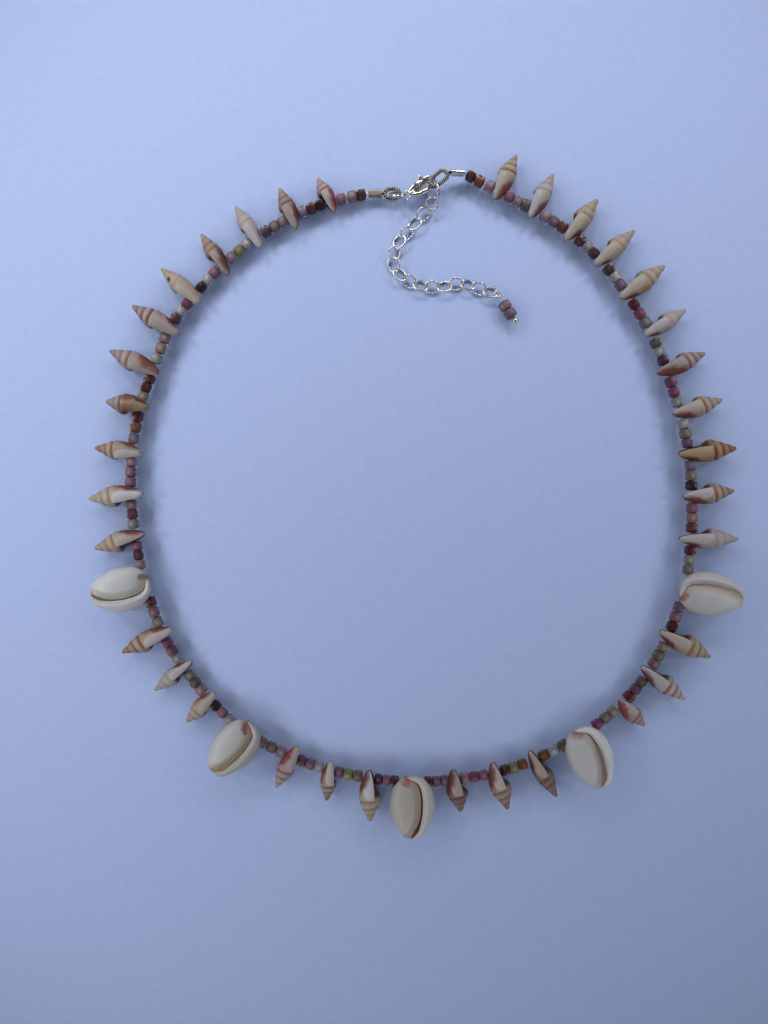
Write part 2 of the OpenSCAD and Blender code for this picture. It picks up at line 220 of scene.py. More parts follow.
# Mitre-like shell, worn smooth by the sea and tumbled: calcite with a soft gloss, cream under
# tan spiral bands, darker at the sutures, stained red-brown where it was drilled
looks = {
    "pale": {"body": "#c6c1b6", "lip": "#d2d1ce", "band": "#a48d77", "suture": "#84705e",
             "tip": "#b3ad9a", "patch": "#b08c6c", "stain": "#7a3c32"},
    "cream": {"body": "#c6b99f", "lip": "#cdc5b4", "band": "#a67f52", "suture": "#7c5536",
              "tip": "#b0a482", "patch": "#b98347", "stain": "#7e3028"},
    "golden": {"body": "#c0b096", "lip": "#d9d5cf", "band": "#93643a", "suture": "#5f3e24",
               "tip": "#8c683e", "patch": "#9a5c2c", "stain": "#84391e"},
    "olive": {"body": "#cac2aa", "lip": "#e9ecec", "band": "#a8895a", "suture": "#785a38",
              "tip": "#bbb288", "patch": "#ae7a4a", "stain": "#7c322a"},
    "orange": {"body": "#c2975f", "lip": "#c4b08c", "band": "#84491f", "suture": "#582f18",
               "tip": "#8a5230", "patch": "#9a5626", "stain": "#7a3214"},
    "banded": {"body": "#b7b0a9", "lip": "#b4aba0", "band": "#955f3a", "suture": "#74462c",
               "tip": "#98876f", "patch": "#98532e", "stain": "#80381a"},
    "marked": {"body": "#d2d1cd", "lip": "#cdcbc8", "band": "#ac8076", "suture": "#8e6258",
               "tip": "#d0cdb4", "patch": "#9a5a44", "stain": "#76302c"},
    "rose": {"body": "#c0aca4", "lip": "#c6beb5", "band": "#94685c", "suture": "#74504a",
             "tip": "#bdb490", "patch": "#a5604c", "stain": "#962c2a"},
    "peach": {"body": "#ac927e", "lip": "#b8b0a3", "band": "#8a624e", "suture": "#6a473d",
              "tip": "#b4ab94", "patch": "#8c5434", "stain": "#6c2624"},
    "brown": {"body": "#9a7e6d", "lip": "#cabfb0", "band": "#755040", "suture": "#533430",
              "tip": "#a0805c", "patch": "#803f26", "stain": "#662020"},
    "patched": {"body": "#b0a898", "lip": "#a8905e", "band": "#86725c", "suture": "#6c5c4c",
                "tip": "#a59c86", "patch": "#843a1c", "stain": "#6a2418"},
}
insideShell = {"mouth": "#5c3032", "pit": "#57461c", "grey": "#98949a"}


def wornShellMaterial(name, look):
    material, tree = newMaterial(name)
    traits = ("along", "side", "up", "bandCos", "bandSin", "spire", "lobe", "patch", "inside", "stain", "pit")
    trait = {t: addNode(tree, "Attribute", {}, out=2, attribute_name=t) for t in traits}
    colours = {k: linear(v) for k, v in {**look, **insideShell}.items()}
    place = addNode(tree, "CombineXYZ", {0: trait["along"], 1: trait["side"], 2: trait["up"]})
    # growth lines run along the shell and fade out, about 0.3 mm apart
    growth = addNode(tree, "Mapping", {"Vector": place, "Scale": (3, 9, 9)})
    streaks = addNode(tree, "TexNoise", {"Vector": growth, "Scale": 1.6, "Detail": 4, "Roughness": 0.6})
    # blotches about 2 mm wide
    wide = addNode(tree, "Mapping", {"Vector": place, "Scale": (7, 2.2, 2.2)})
    blotches = addNode(tree, "TexNoise", {"Vector": wide, "Scale": 1, "Detail": 3})
    waver = addNode(tree, "Math", {0: blotches, 1: 1.3, 2: -0.65}, operation="MULTIPLY_ADD")
    # one broad band on the tip side of each suture
    bandWave = addNode(tree, "Math", {0: trait["bandCos"], 1: 0.81, 2: waver}, operation="MULTIPLY_ADD")
    bandWave = addNode(tree, "Math", {0: trait["bandSin"], 1: 0.59, 2: bandWave}, operation="MULTIPLY_ADD")
    sutureWave = addNode(tree, "Math", {0: waver, 1: 0.15, 2: trait["bandCos"]}, operation="MULTIPLY_ADD")
    patchEdge = addNode(tree, "Math", {0: waver, 1: 0.6, 2: trait["patch"]}, operation="MULTIPLY_ADD")
    stainEdge = addNode(tree, "Math", {0: waver, 1: 0.5, 2: trait["stain"]}, operation="MULTIPLY_ADD")
    colour = colours["body"]
    # one colour over another: what it follows, where it starts and is full, how full it gets, its edge
    for key, follows, start, full, most, edge in (
        ("band", bandWave, -0.4, 0.9, 1, softEdge),
        ("grey", blotches, 0.5, 0.32, 0.5, evenEdge),
        ("band", streaks, 0.42, 0.72, 0.5, evenEdge),
        ("tip", trait["along"], 0.7, 0.97, 0.75, evenEdge),
        ("suture", sutureWave, 0.78, 1.02, 0.85, softEdge),
        ("lip", trait["lobe"], 0.05, 0.7, 0.85, softEdge),
        ("patch", patchEdge, 0.25, 0.8, 0.85, softEdge),
        ("stain", stainEdge, 0, 0.45, 0.95, softEdge),
    ):
        share = addNode(tree, "MapRange", {0: follows, 1: start, 2: full, 4: most}, **edge)
        if follows in (bandWave, sutureWave):  # these are on the spire only
            share = addNode(tree, "Math", {0: share, 1: trait["spire"]}, operation="MULTIPLY")
        colour = addNode(tree, "Mix", {0: share, 6: colour, 7: colours[key]}, **rgbMix)
    for key, share in (("mouth", trait["inside"]), ("pit", trait["pit"])):
        colour = addNode(tree, "Mix", {0: share, 6: colour, 7: colours[key]}, **rgbMix)
    # painted shade: the sides and the underside, by which way they face, are darkened towards a dusky brown,
    # less so at the inner end
    normal = addNode(tree, "NewGeometry", {}, out=1)
    up = addNode(tree, "SeparateXYZ", {0: normal}, out=2)
    paintedShade = addNode(tree, "MapRange", {0: up, 1: 0.55, 2: 0.0, 4: 0.52})
    innerEnd = addNode(tree, "MapRange", {0: trait["along"], 1: 0.02, 2: 0.2, 3: 0.35})
    paintedShade = addNode(tree, "Math", {0: paintedShade, 1: innerEnd}, operation="MULTIPLY")
    colour = addNode(tree, "Mix", {0: paintedShade, 6: colour, 7: linear("#57483f")}, **rgbMix)
    # the whole shell is darkened and cooled a little by one pale lavender multiply
    colour = addNode(tree, "Mix", {0: 1, 6: colour, 7: linear("#d8d5e0")}, blend_type="MULTIPLY", **rgbMix)
    rough = addNode(tree, "MapRange", {0: blotches, 3: 0.42, 4: 0.58})
    fine = addNode(tree, "Math", {0: streaks, 1: blotches}, operation="ADD")
    bump = addNode(tree, "Bump", {"Height": fine, "Strength": 0.35, "Distance": 0.04 * mm})
    surface = addNode(tree, "BsdfPrincipled", {
        "Base Color": colour, "Roughness": rough, "Normal": bump, "IOR": 1.53,
        "Subsurface Weight": 0.12, "Subsurface Radius": (1.0, 0.6, 0.4), "Subsurface Scale": 0.4 * mm})
    addNode(tree, "OutputMaterial", {0: surface})
    return material


# Cowrie, a porcelain-like glaze laid down by the animal: off-white and glossy, warmer in its slit
def glazedCowrieMaterial(name, look):
    material, tree = newMaterial(name)
    traits = ("toSlit", "sunk", "spot", "alongMm")
    toSlit, sunk, spot, along = [addNode(tree, "Attribute", {}, out=2, attribute_name=t) for t in traits]
    place = addNode(tree, "CombineXYZ", {0: along, 1: toSlit})
    # clouds about 3 mm wide
    cloud = addNode(tree, "TexNoise", {"Vector": place, "Scale": 0.35, "Detail": 3})
    # fine cross ribs, one for each tooth: at a scale of 0.314 the wave is one unit long
    ribPlace = addNode(tree, "Mapping", {"Vector": place, "Scale": (1 / cowrie["tooth"], 0.1, 1)})
    ribs = addNode(tree, "TexWave", {"Vector": ribPlace, "Scale": 0.314, "Distortion": 0.6, "Detail": 1})
    ribShare = addNode(tree, "MapRange", {0: toSlit, 1: -4.5, 2: -0.8, 3: 0, 4: 0.08})
    ribShade = addNode(tree, "Math", {0: ribs, 1: ribShare}, operation="MULTIPLY")
    cloudShare = addNode(tree, "MapRange", {0: cloud, 1: 0.4, 2: 0.75, 4: 0.35})
    # the toothed band, on the slit's left side, with a crease along it: its tan is laid on by how far the
    # surface sinks, partly the band's own colour and partly painted shade in the trough
    left = addNode(tree, "MapRange", {0: toSlit, 1: 0.3, 2: 0.0})
    trough = addNode(tree, "MapRange", {0: sunk, 1: 0.25, 2: 1.05, 4: look["warmth"]}, **softEdge)
    trough = addNode(tree, "Math", {0: trough, 1: left}, operation="MULTIPLY")
    # painted shade: a dark line along the crease where the band meets the dome
    creaseShadeLine = addNode(tree, "MapRange", {0: toSlit, 1: -1.75, 2: -1.3, 4: 0.22})
    creaseShadeLineEnd = addNode(tree, "MapRange", {0: toSlit, 1: -1.1, 2: -1.35})
    creaseShadeLine = addNode(tree, "Math", {0: creaseShadeLine, 1: creaseShadeLineEnd}, operation="MULTIPLY")
    slit = addNode(tree, "MapRange", {0: sunk, 1: 1.05, 2: 1.4}, **softEdge)
    spotEdge = addNode(tree, "Math", {0: cloud, 1: 0.5, 2: spot}, operation="MULTIPLY_ADD")
    spotShare = addNode(tree, "MapRange", {0: spotEdge, 1: 0.42, 2: 1.05, 4: 0.85}, **softEdge)
    lip = addNode(tree, "MapRange", {0: toSlit, 1: 0.0, 2: 0.7})
    colour = linear(look["body"])
    for share, key in ((lip, "lip"), (cloudShare, "cloud"), (ribShade, "slit"), (trough, "trough"),
                       (creaseShadeLine, "slit"), (spotShare, "spot"), (slit, "slit")):
        colour = addNode(tree, "Mix", {0: share, 6: colour, 7: linear(look[key])}, **rgbMix)
    # painted shade: the sides and the underside are darkened by which way they face
    normal = addNode(tree, "NewGeometry", {}, out=1)
    up = addNode(tree, "SeparateXYZ", {0: normal}, out=2)
    paintedShade = addNode(tree, "MapRange", {0: up, 1: 0.5, 2: 0.0, 4: 0.45})
    colour = addNode(tree, "Mix", {0: paintedShade, 6: colour, 7: linear("#6c6259")}, **rgbMix)
    bump = addNode(tree, "Bump", {"Height": ribShade, "Strength": 0.5, "Distance": 0.05 * mm})
    surface = addNode(tree, "BsdfPrincipled", {
        "Base Color": colour, "Roughness": 0.4, "Normal": bump, "IOR": 1.5,
        "Subsurface Weight": 0.15, "Subsurface Radius": (1.0, 0.8, 0.6), "Subsurface Scale": 0.5 * mm,
        "Coat Weight": 0.08, "Coat Roughness": 0.25})
    addNode(tree, "OutputMaterial", {0: surface})
    return material


# Tourmaline beads, sawn into cubes, drilled and tumbled: glassy, each stone its own colour,
# from clear through milky to so deep that no light comes through
def stoneMaterial(name, through, roughness):
    material, tree = newMaterial(name)
    stone = addNode(tree, "Attribute", {}, attribute_name="stone")
    place = addNode(tree, "TexCoord", {}, out=3)
    # veins and clouds in the stone, about 0.8 mm across
    cloud = addNode(tree, "TexNoise", {
        "Vector": place, "Scale": 1 / (0.8 * mm), "Detail": 4, "Roughness": 0.65})
    pale = addNode(tree, "MapRange", {0: cloud, 1: 0.5, 2: 0.8, 4: 0.35})
    darkVeinsAndEdgeShade = addNode(tree, "MapRange", {0: cloud, 1: 0.5, 2: 0.2, 4: 0.5})
    colour = addNode(tree, "Mix", {0: pale, 6: stone, 7: linear("#b8aab4")}, **rgbMix)
    shade = addNode(tree, "Mix", {0: 0.62, 6: colour, 7: linear("#2a1c20")}, **rgbMix)
    # painted shade: the stone darkens towards its edges and corners, standing in for the dark rims that
    # refraction gives
    inStone = addNode(tree, "Attribute", {}, out=1, attribute_name="inStone")
    outwards = addNode(tree, "VectorMath", {0: inStone, 1: inStone}, out=1, operation="DOT_PRODUCT")
    rim = addNode(tree, "MapRange", {0: outwards, 1: 1.02, 2: 1.3, 4: 0.8}, **softEdge)
    darkVeinsAndEdgeShade = addNode(tree, "Math", {0: darkVeinsAndEdgeShade, 1: rim}, operation="MAXIMUM")
    colour = addNode(tree, "Mix", {0: darkVeinsAndEdgeShade, 6: colour, 7: shade}, **rgbMix)
    # pits left by the tumbling, about 0.25 mm across
    pits = addNode(tree, "TexNoise", {"Vector": place, "Scale": 1 / (0.25 * mm), "Detail": 2})
    bump = addNode(tree, "Bump", {"Height": pits, "Strength": 0.3, "Distance": 0.03 * mm})
    surface = addNode(tree, "BsdfPrincipled", {
        "Base Color": colour, "Roughness": roughness, "Normal": bump, "IOR": 1.5, "Specular IOR Level": 0.35,
        "Transmission Weight": through})
    addNode(tree, "OutputMaterial", {0: surface})
    return material


# Silver plate over brass, drawn or cast: bright, with faint drawing marks and a little tarnish
def silverPlateMaterial(name, roughness, colourHex, tarnishHex):
    material, tree = newMaterial(name)
    place = addNode(tree, "TexCoord", {}, out=3)
    # tarnish gathers in patches about 1.2 mm wide, marks are 0.12 mm apart
    patches = addNode(tree, "TexNoise", {"Vector": place, "Scale": 1 / (1.2 * mm), "Detail": 3})
    marks = addNode(tree, "TexNoise", {"Vector": place, "Scale": 1 / (0.12 * mm), "Detail": 2})
    share = addNode(tree, "MapRange", {0: patches, 1: 0.45, 2: 0.8, 4: 0.6})
    colour = addNode(tree, "Mix", {0: share, 6: linear(colourHex), 7: linear(tarnishHex)}, **rgbMix)
    rough = addNode(tree, "MapRange", {0: patches, 3: roughness, 4: roughness + 0.15})
    bump = addNode(tree, "Bump", {"Height": marks, "Strength": 0.15, "Distance": 0.01 * mm})
    surface = addNode(tree, "BsdfPrincipled", {
        "Base Color": colour, "Metallic": 1, "Roughness": rough, "Normal": bump})
    addNode(tree, "OutputMaterial", {0: surface})
    return material


# A plain matt ground for the picture, mottled about every 1.5 mm
def groundMaterial():
    material, tree = newMaterial("paleGround")
    place = addNode(tree, "TexCoord", {}, out=3)
    mottle = addNode(tree, "TexNoise", {"Vector": place, "Scale": 1 / (1.5 * mm), "Detail": 4})
    share = addNode(tree, "MapRange", {0: mottle, 1: 0.35, 2: 0.65})
    colour = addNode(tree, "Mix", {0: share, 6: linear("#b0c3f3"), 7: linear("#b5c7f5")}, **rgbMix)
    surface = addNode(tree, "BsdfPrincipled", {"Base Color": colour, "Roughness": 0.85})
    addNode(tree, "OutputMaterial", {0: surface})
    return material


# Camera, floor and light

# the picture was taken from straight above, 176 mm over the middle of its frame
view = {"x": -7.4, "y": -3.6, "z": 176, "focal": 759, "longSide": 1024, "sensor": 36}


def addCamera():
    deselectAll()
    bpy.ops.object.camera_add(location=(view["x"] * mm, view["y"] * mm, view["z"] * mm))
    camera = bpy.context.object
    camera.data.sensor_width = view["sensor"]
    camera.data.lens = view["focal"] / view["longSide"] * view["sensor"]
    camera.data.clip_start = 1 * mm
    camera.data.clip_end = 10
    bpy.context.scene.camera = camera


# soft lights stand round the strand and low, so that every shadow falls towards the middle
lights = {"count": 12, "ring": 260, "height": 150, "size": 60, "power": 0.0175, "aimRing": 120,
          "back": 0.52, "left": 0.32, "spread": 64, "skyLow": 0.3, "skyHigh": 0.09}


def addFloorAndLight():
    deselectAll()
    bpy.ops.mesh.primitive_plane_add(size=3)
    floor = bpy.context.object
    floor.name = "floor"
    floor.data.materials.append(groundMaterial())
    for n in range(lights["count"]):
        angle = math.tau * n / lights["count"]
        way = Vector((math.cos(angle), math.sin(angle), 0))
        place = (way * lights["ring"] + Vector((0, 0, lights["height"]))) * mm
        aim = way * lights["aimRing"] * mm - place
        deselectAll()
        bpy.ops.object.light_add(type="AREA", location=place)
        light = bpy.context.object
        light.rotation_euler = aim.to_track_quat("-Z", "Y").to_euler()
        light.data.size = lights["size"] * mm
        light.data.spread = math.radians(lights["spread"])
        light.data.energy = lights["power"] * (1 + lights["back"] * way.y - lights["left"] * way.x)
        light.visible_camera = False
    world = bpy.data.worlds.new("softRoom")
    bpy.context.scene.world = world
    world.use_nodes = True
    tree = world.node_tree
    tree.nodes.clear()
    place = addNode(tree, "TexCoord", {}, out=0)
    height = addNode(tree, "SeparateXYZ", {0: place}, out=2)
    strength = addNode(tree, "MapRange", {
        0: height, 1: 0.0, 2: 0.9, 3: lights["skyLow"], 4: lights["skyHigh"]})
    sky = addNode(tree, "Background", {"Color": linear("#eef0f6"), "Strength": strength})
    addNode(tree, "OutputWorld", {0: sky})
    bpy.context.scene.view_settings.view_transform = "Standard"


addCamera()
addFloorAndLight()
print("camera, floor and light are in place")


# The strand: the same shells and the same wire as the frame has

# crossing x, y, heading of the outer tip, length, width, share of the length inside the wire,
# angle of the lip's edge above the strand, form, look, reach of the stain, share of bands, share of patch
spindles = [
    (-20.0, 67.5, 115, 9.3, 3.7, 0.32, 60, "stout", "rose", 2.0, 0.5, 0.2),
    (-28.7, 64.1, 112, 10.6, 4.0, 0.32, 49, "plain", "peach", 1.6, 0.7, 0.9),
    (-37.0, 59.1, 121, 11.7, 3.9, 0.24, 47, "slender", "pale", 0.9, 0.25, 0.3),
    (-44.6, 52.9, 123, 11.8, 4.0, 0.25, 62, "slender", "peach", 2.2, 0.6, 0.4),
    (-51.2, 45.7, 138, 12.3, 4.3, 0.20, 35, "slender", "cream", 0.4, 0.1, 0.1),
    (-56.6, 38.3, 148, 13.0, 4.6, 0.22, 38, "plain", "banded", 1.2, 1.0, 0.5),
    (-60.3, 28.7, 155, 12.9, 4.7, 0.14, 38, "plain", "banded", 2.4, 0.6, 0.2),
    (-63.3, 20.5, 171, 10.2, 4.8, 0.22, 45, "stout", "patched", 1.4, 0.5, 1.0),
    (-65.1, 10.2, 174, 11.1, 4.5, 0.22, 32, "plain", "golden", 1.6, 0.6, 0.5),
    (-65.3, 0.3, 185, 12.85, 5.0, 0.24, 53, "plain", "olive", 1.6, 0.4, 0.8),
    (-64.3, -9.3, 196, 12.2, 4.8, 0.20, 64, "plain", "cream", 2.0, 0.5, 0.2),
    (-58.1, -31.4, 205, 13.1, 4.6, 0.21, 53, "plain", "golden", 1.5, 0.8, 0.7),
    (-53.3, -39.4, 217, 11.1, 3.9, 0.23, 66, "slender", "pale", 1.1, 0.4, 0.2),
    (-47.5, -46.5, 225, 9.7, 3.9, 0.23, 45, "stout", "cream", 1.2, 0.3, 0.8),
    (-28.5, -59.8, 242, 11.2, 4.0, 0.28, 38, "plain", "rose", 1.8, 0.7, 0.1),
    (-19.8, -62.8, 264, 9.4, 3.8, 0.24, 51, "stout", "golden", 1.2, 0.7, 1.0),
    (-10.6, -64.4, 270, 12.1, 5.0, 0.17, 66, "plain", "olive", 2.2, 0.6, 0.2),
    (8.9, -64.8, 280, 10.0, 4.8, 0.25, 63, "stout", "brown", 2.0, 0.8, 1.0),
    (18.2, -63.2, 288, 11.6, 4.8, 0.23, 65, "plain", "golden", 2.2, 0.6, 0.2),
    (27.2, -60.3, 300, 12.7, 4.2, 0.21, 68, "plain", "brown", 1.6, 0.7, 0.3),
    (47.2, -47.6, 316, 8.6, 3.9, 0.15, 40, "stout", "rose", 2.1, 0.6, 0.1),
    (53.2, -40.1, 322, 13.0, 4.5, 0.18, 67, "plain", "marked", 1.8, 1.0, 0.3),
    (57.6, -31.7, 332, 13.5, 5.0, 0.18, 64, "plain", "cream", 1.6, 0.8, 0.3),
    (62.9, -9.6, 359, 14.2, 4.8, 0.22, 60, "slender", "pale", 1.3, 0.3, 0.3),
    (63.0, 0.2, 6, 12.2, 4.7, 0.19, 55, "plain", "golden", 2.0, 0.7, 0.6),
    (62.3, 10.0, 5, 13.8, 5.1, 0.20, 69, "plain", "orange", 1.4, 1.0, 0.5),
    (60.3, 19.3, 16, 12.2, 4.6, 0.16, 49, "plain", "cream", 1.9, 0.8, 0.1),
    (57.3, 29.0, 23, 12.4, 4.4, 0.21, 48, "plain", "banded", 2.6, 0.8, 1.0),
    (53.6, 37.8, 31, 11.7, 4.1, 0.17, 55, "slender", "pale", 1.2, 0.15, 0.7),
    (48.1, 46.4, 36, 13.3, 4.6, 0.17, 47, "plain", "cream", 1.4, 0.4, 1.0),
    (42.2, 54.1, 41, 12.7, 4.3, 0.17, 51, "slender", "cream", 1.0, 0.3, 0.3),
    (35.3, 60.3, 51, 12.7, 4.4, 0.20, 55, "plain", "cream", 1.3, 0.3, 0.6),
    (27.0, 65.6, 62, 11.9, 4.3, 0.20, 38, "slender", "pale", 1.8, 0.35, 0.1),
    (19.0, 69.8, 65, 11.8, 4.3, 0.20, 37, "plain", "cream", 1.9, 0.9, 0.1),
]
# crossing x, y, heading, length, width, share of the length inside the wire, which shell it follows,
# how far it lies aside in mm, colours of the body, lip, slit and toothed band, strength of the band,
# how far the slit gapes and how far it is filled in mm, colour of the spots, and the spots:
# share of the length, mm from the middle line, reach in mm
cowries = [
    (-62.0, -19.9, 192, 13.2, 10.3, 0.11, 11, 0.2, "#c8cbcf", "#c5c6ca",
     "#857e74", "#a09482", 0.7, 0, 0.15, "#8a4434",
     [(0.12, -1.9, 0.7), (0.075, -1.75, 0.7), (0.035, -1.4, 0.6)]),
    (-39.1, -53.8, 229, 13.7, 9.8, 0.205, 14, 0.35, "#c0c1c2", "#b0aeab",
     "#9a8773", "#957f68", 0.9, 0.1, 0.4, "#7c2c24",
     [(0.13, -1.1, 0.85), (0.08, -1.5, 0.7), (0.17, -0.3, 0.5)]),
    (-1.0, -65.3, 270, 13.6, 10.3, 0.125, 17, 0, "#b0adaa", "#c6c6c3",
     "#5c3d39", "#9a806a", 0.75, 0.05, 0.1, "#9c5236",
     [(0.1, -1.3, 0.95), (0.05, -1.0, 0.6)]),
    (37.6, -54.5, 291, 13.8, 10.3, 0.14, 20, 0, "#bfc1c7", "#dadadd",
     "#8d7d77", "#a3938a", 0.7, 0.4, 0.2, "#9a7068",
     [(0.06, -1.3, 0.8), (0.1, -0.4, 0.7)]),
    (61.2, -21.0, 353, 14.1, 10.1, 0.108, 23, -0.6, "#bcbdc3", "#bdbdc1",
     "#b2a597", "#a99a86", 0.6, 0.15, 0.35, "#a04438",
     [(0.06, -1.7, 0.8), (0.1, -0.8, 0.6)]),
]
wire = {"d": 0.5, "lowest": 1.75, "drop": 0.4, "inCowrie": 2.7, "bore": 1.0}
# leads and trails are the clear wire from a crossing to its beads, the longest and shortest are lengths
bead = {"w": 2.5, "shortest": 2.2, "longest": 2.5, "byCowrie": 1.9, "gap": 0.02,
        "spindleLead": 1.1, "spindleTrail": 1.8, "cowrieLead": 3.2, "mouthLead": 0.9,
        "fit": 0.89, "wobble": 0.03, "lean": 6, "corner": 0.62, "roundness": 0.55, "boreRadius": 0.42}
dip = 3.5  # slope of a spindle's axis, tip down, in degrees
restGap = 0.085
leftMouth, leftCrimpEnd = Vector((-11.0, 69.5, 1.65)), Vector((-7.7, 69.6, 1.5))
rightMouth, rightCrimpEnd = Vector((10.8, 73.9, 2.2)), Vector((7.7, 73.8, 2.9))
mouthGap = 0.4
wireInCrimp = 1.3


def axisHeight(shell):
    length, width, inner = shell[3:6]
    slope = math.radians(dip)
    return width / 2 * math.cos(slope) + (0.48 - inner) * length * math.sin(slope) + restGap


def wireStops():
    # each crossing in turn, with the clearance that the wire needs before and after it
    onStrand = []
    for shell in spindles:
        height = max(wire["lowest"], axisHeight(shell) - wire["drop"])
        onStrand.append((Vector((*shell[:2], height)), bead["spindleTrail"], bead["spindleLead"]))
    for row in reversed(cowries):
        middle = Vector((*row[:2], wire["inCowrie"]))
        onStrand.insert(row[6], (middle, bead["cowrieLead"], bead["cowrieLead"]))
    left, right = [
        (mouth + mouthGap * (mouth - crimpEnd).normalized(), bead["mouthLead"], bead["mouthLead"])
        for mouth, crimpEnd in ((leftMouth, leftCrimpEnd), (rightMouth, rightCrimpEnd))]
    return [left, *onStrand, right]


stops = wireStops()


def onWire(gap, t):
    a, b, c, d = [stops[min(max(gap + k, 0), len(stops) - 1)][0] for k in (-1, 0, 1, 2)]
    square, cube = 2 * a - 5 * b + 4 * c - d, 3 * b - a - 3 * c + d
    return 0.5 * (2 * b + (c - a) * t + square * t**2 + cube * t**3)


def beadRow(gap):
    # length of a bead in this gap, and each bead's place along the wire as a share of the gap
    span = (stops[gap + 1][0] - stops[gap][0]).length
    lead, trail = stops[gap][2], stops[gap + 1][1]
    byCowrie = bead["cowrieLead"] in (lead, trail)
    least = bead["byCowrie"] if byCowrie else bead["shortest"]
    length = min(max((span - lead - trail) / 3, least), bead["longest"])
    first = lead * (span - 3 * length) / (lead + trail)
    return length, [(first + (k + 0.5) * length) / span for k in range(3)]


def beadPlace(gap, k):
    return onWire(gap, beadRow(gap)[1][k])


def stopOf(cowrieRow):
    return cowrieRow[6] + 1 + sum(c[6] < cowrieRow[6] for c in cowries)


# Spindle shells

spindle = {
    "rings": 88, "outer": 44, "columella": 7, "wall": 8,
    # share of the length from the inner end, share of the half width
    "outline": [(0, 0.13), (0.012, 0.24), (0.05, 0.40), (0.15, 0.62), (0.25, 0.80), (0.36, 0.94),
                (0.48, 1.0), (0.56, 0.965), (0.64, 0.86), (0.72, 0.71), (0.80, 0.55), (0.88, 0.38),
                (0.94, 0.26), (0.975, 0.18), (0.993, 0.1), (1, 0.004)],
    # angle round the shell, share of the radius: from the belly round to the inside of the mouth
    "inward": [(265, 1.0), (285, 0.95), (300, 0.84), (315, 0.7), (330, 0.58), (345, 0.51), (360, 0.46),
               (380, 0.41), (400, 0.38), (430, 0.35)],
    "lipAngle": 57, "underLip": 12, "depth": 148, "core": 0.35, "lipWall": 0.13,
    # whorls up from the mouth: so many to the length, and more with its square
    "whorls": 5.77, "closer": 2.98,
}
spindleForms = {
    "plain": {"mouthTop": 0.536, "swell": 0.045, "groove": 0.075, "lobe": 0.07, "girth": 1.0},
    "slender": {"mouthTop": 0.524, "swell": 0.02, "groove": 0.042, "lobe": 0.06, "girth": 0.98},
    "stout": {"mouthTop": 0.57, "swell": 0.05, "groove": 0.08, "lobe": 0.09, "girth": 1.02},
}


def ringedTube(around, rings):
    # a cylinder along X, its long edges cut into rings
    tube = cylinderAlongX(around, 1, 2)
    selectEdges(tube, lambda a, b: abs(a.x - b.x) > 1)
    inEditMode(tube, lambda: bpy.ops.mesh.subdivide(number_cuts=rings - 2))
    return tube


def shapeRings(tube, around, rings, vertexAt):
    # moves every vertex to its place in the real section, and keeps what its material reads
    traits = {}
    for vertex in tube.data.vertices:
        ring = round((vertex.co.x + 1) / 2 * (rings - 1))
        step = round(math.atan2(vertex.co.z, vertex.co.y) / math.tau * around) % around
        vertex.co, found = vertexAt(ring, step)
        for name, value in found.items():
            traits.setdefault(name, []).append(value)
    for name, values in traits.items():
        setTrait(tube, name, values)


def spindleVertex(form, ring, step):
    share = ring / (spindle["rings"] - 1)
    lip, outer, core, wall = (spindle[k] for k in ("lipAngle", "outer", "columella", "wall"))
    mouth = 1 - smoothStep(form["mouthTop"] - 0.15, form["mouthTop"] - 0.01, share)
    under = spindle["underLip"] * mouth
    depth = spindle["depth"] * math.sqrt(mouth)
    inside = 0
    if step < outer:
        back = (360 + under) * step / (outer - 1)  # degrees back from the lip, over the top
        radius = between(1, curveAt(spindle["inward"], lip + back) if lip + back > 265 else 1, mouth)
        inside = smoothStep(285, 330, lip + back) * min(1, 2.5 * mouth)
    elif step < outer + core:
        back = under + depth * (step - outer + 1) / core
        radius = between(1, spindle["core"], mouth)
        inside = min(1, 3 * mouth)
    elif step < outer + core + wall:
        back = (under + depth) * (1 - (step - outer - core + 1) / (wall + 0.5))
        radius = 1 - spindle["lipWall"] * min(1, 2.2 * mouth)
        inside = min(1, 3 * mouth)
    else:
        back = -2.5 * mouth
        radius = 1 - 0.45 * spindle["lipWall"] * mouth
    angle = lip + back
    above = share - form["mouthTop"]
    whorl = spindle["whorls"] * above + spindle["closer"] * above * above - back / 360
    suture = max(0, round(whorl))
    starting = smoothStep(0, 18, back) if suture == 0 else 1
    groove = form["groove"] * hump(whorl, suture, 0.1) * starting
    swell = form["swell"] * math.sin(math.pi * (whorl % 1)) * smoothStep(0.45, 0.6, share)
    # the lip's pale lobe is an oval from the inner end up to the last suture
    away = max(0, angle - 78) / 50 if angle < 250 else 9
    lobeTop = (share - 0.2) / (form["mouthTop"] - 0.2)
    lobeShare = smoothStep(0.0, 0.5, 1 - away**2 - max(0, lobeTop) ** 3)
    belowTop = 1 - max(0, lobeTop) ** 3 if lobeTop < 1 else 0
    ridge = lobeShare * hump(angle, 82, 30) - 0.6 * hump(angle, 145, 22) * belowTop
    lobe = form["lobe"] * ridge * smoothStep(0, 0.1, share)
    if inside < 1 or step >= outer:
        radius *= 1 + swell - groove + lobe
    radius *= curveAt(spindle["outline"], share)
    turn = math.radians(angle)
    tail = 0.22 * (1 - smoothStep(0, 0.2, share))  # the inner end leans over towards the mouth's side
    place = Vector((share, radius * math.cos(turn), radius * math.sin(turn) + tail * 0.5))
    return place, {
        "along": share, "side": math.cos(turn), "up": math.sin(turn),
        "bandCos": math.cos(math.tau * whorl), "bandSin": math.sin(math.tau * whorl),
        "spire": smoothStep(0.5, 0.57, share), "inside": inside, "lobe": lobeShare,
        "patch": hump(share, 0.44, 0.13) * (hump(angle, 165, 45) if angle < 260 else 0),
    }


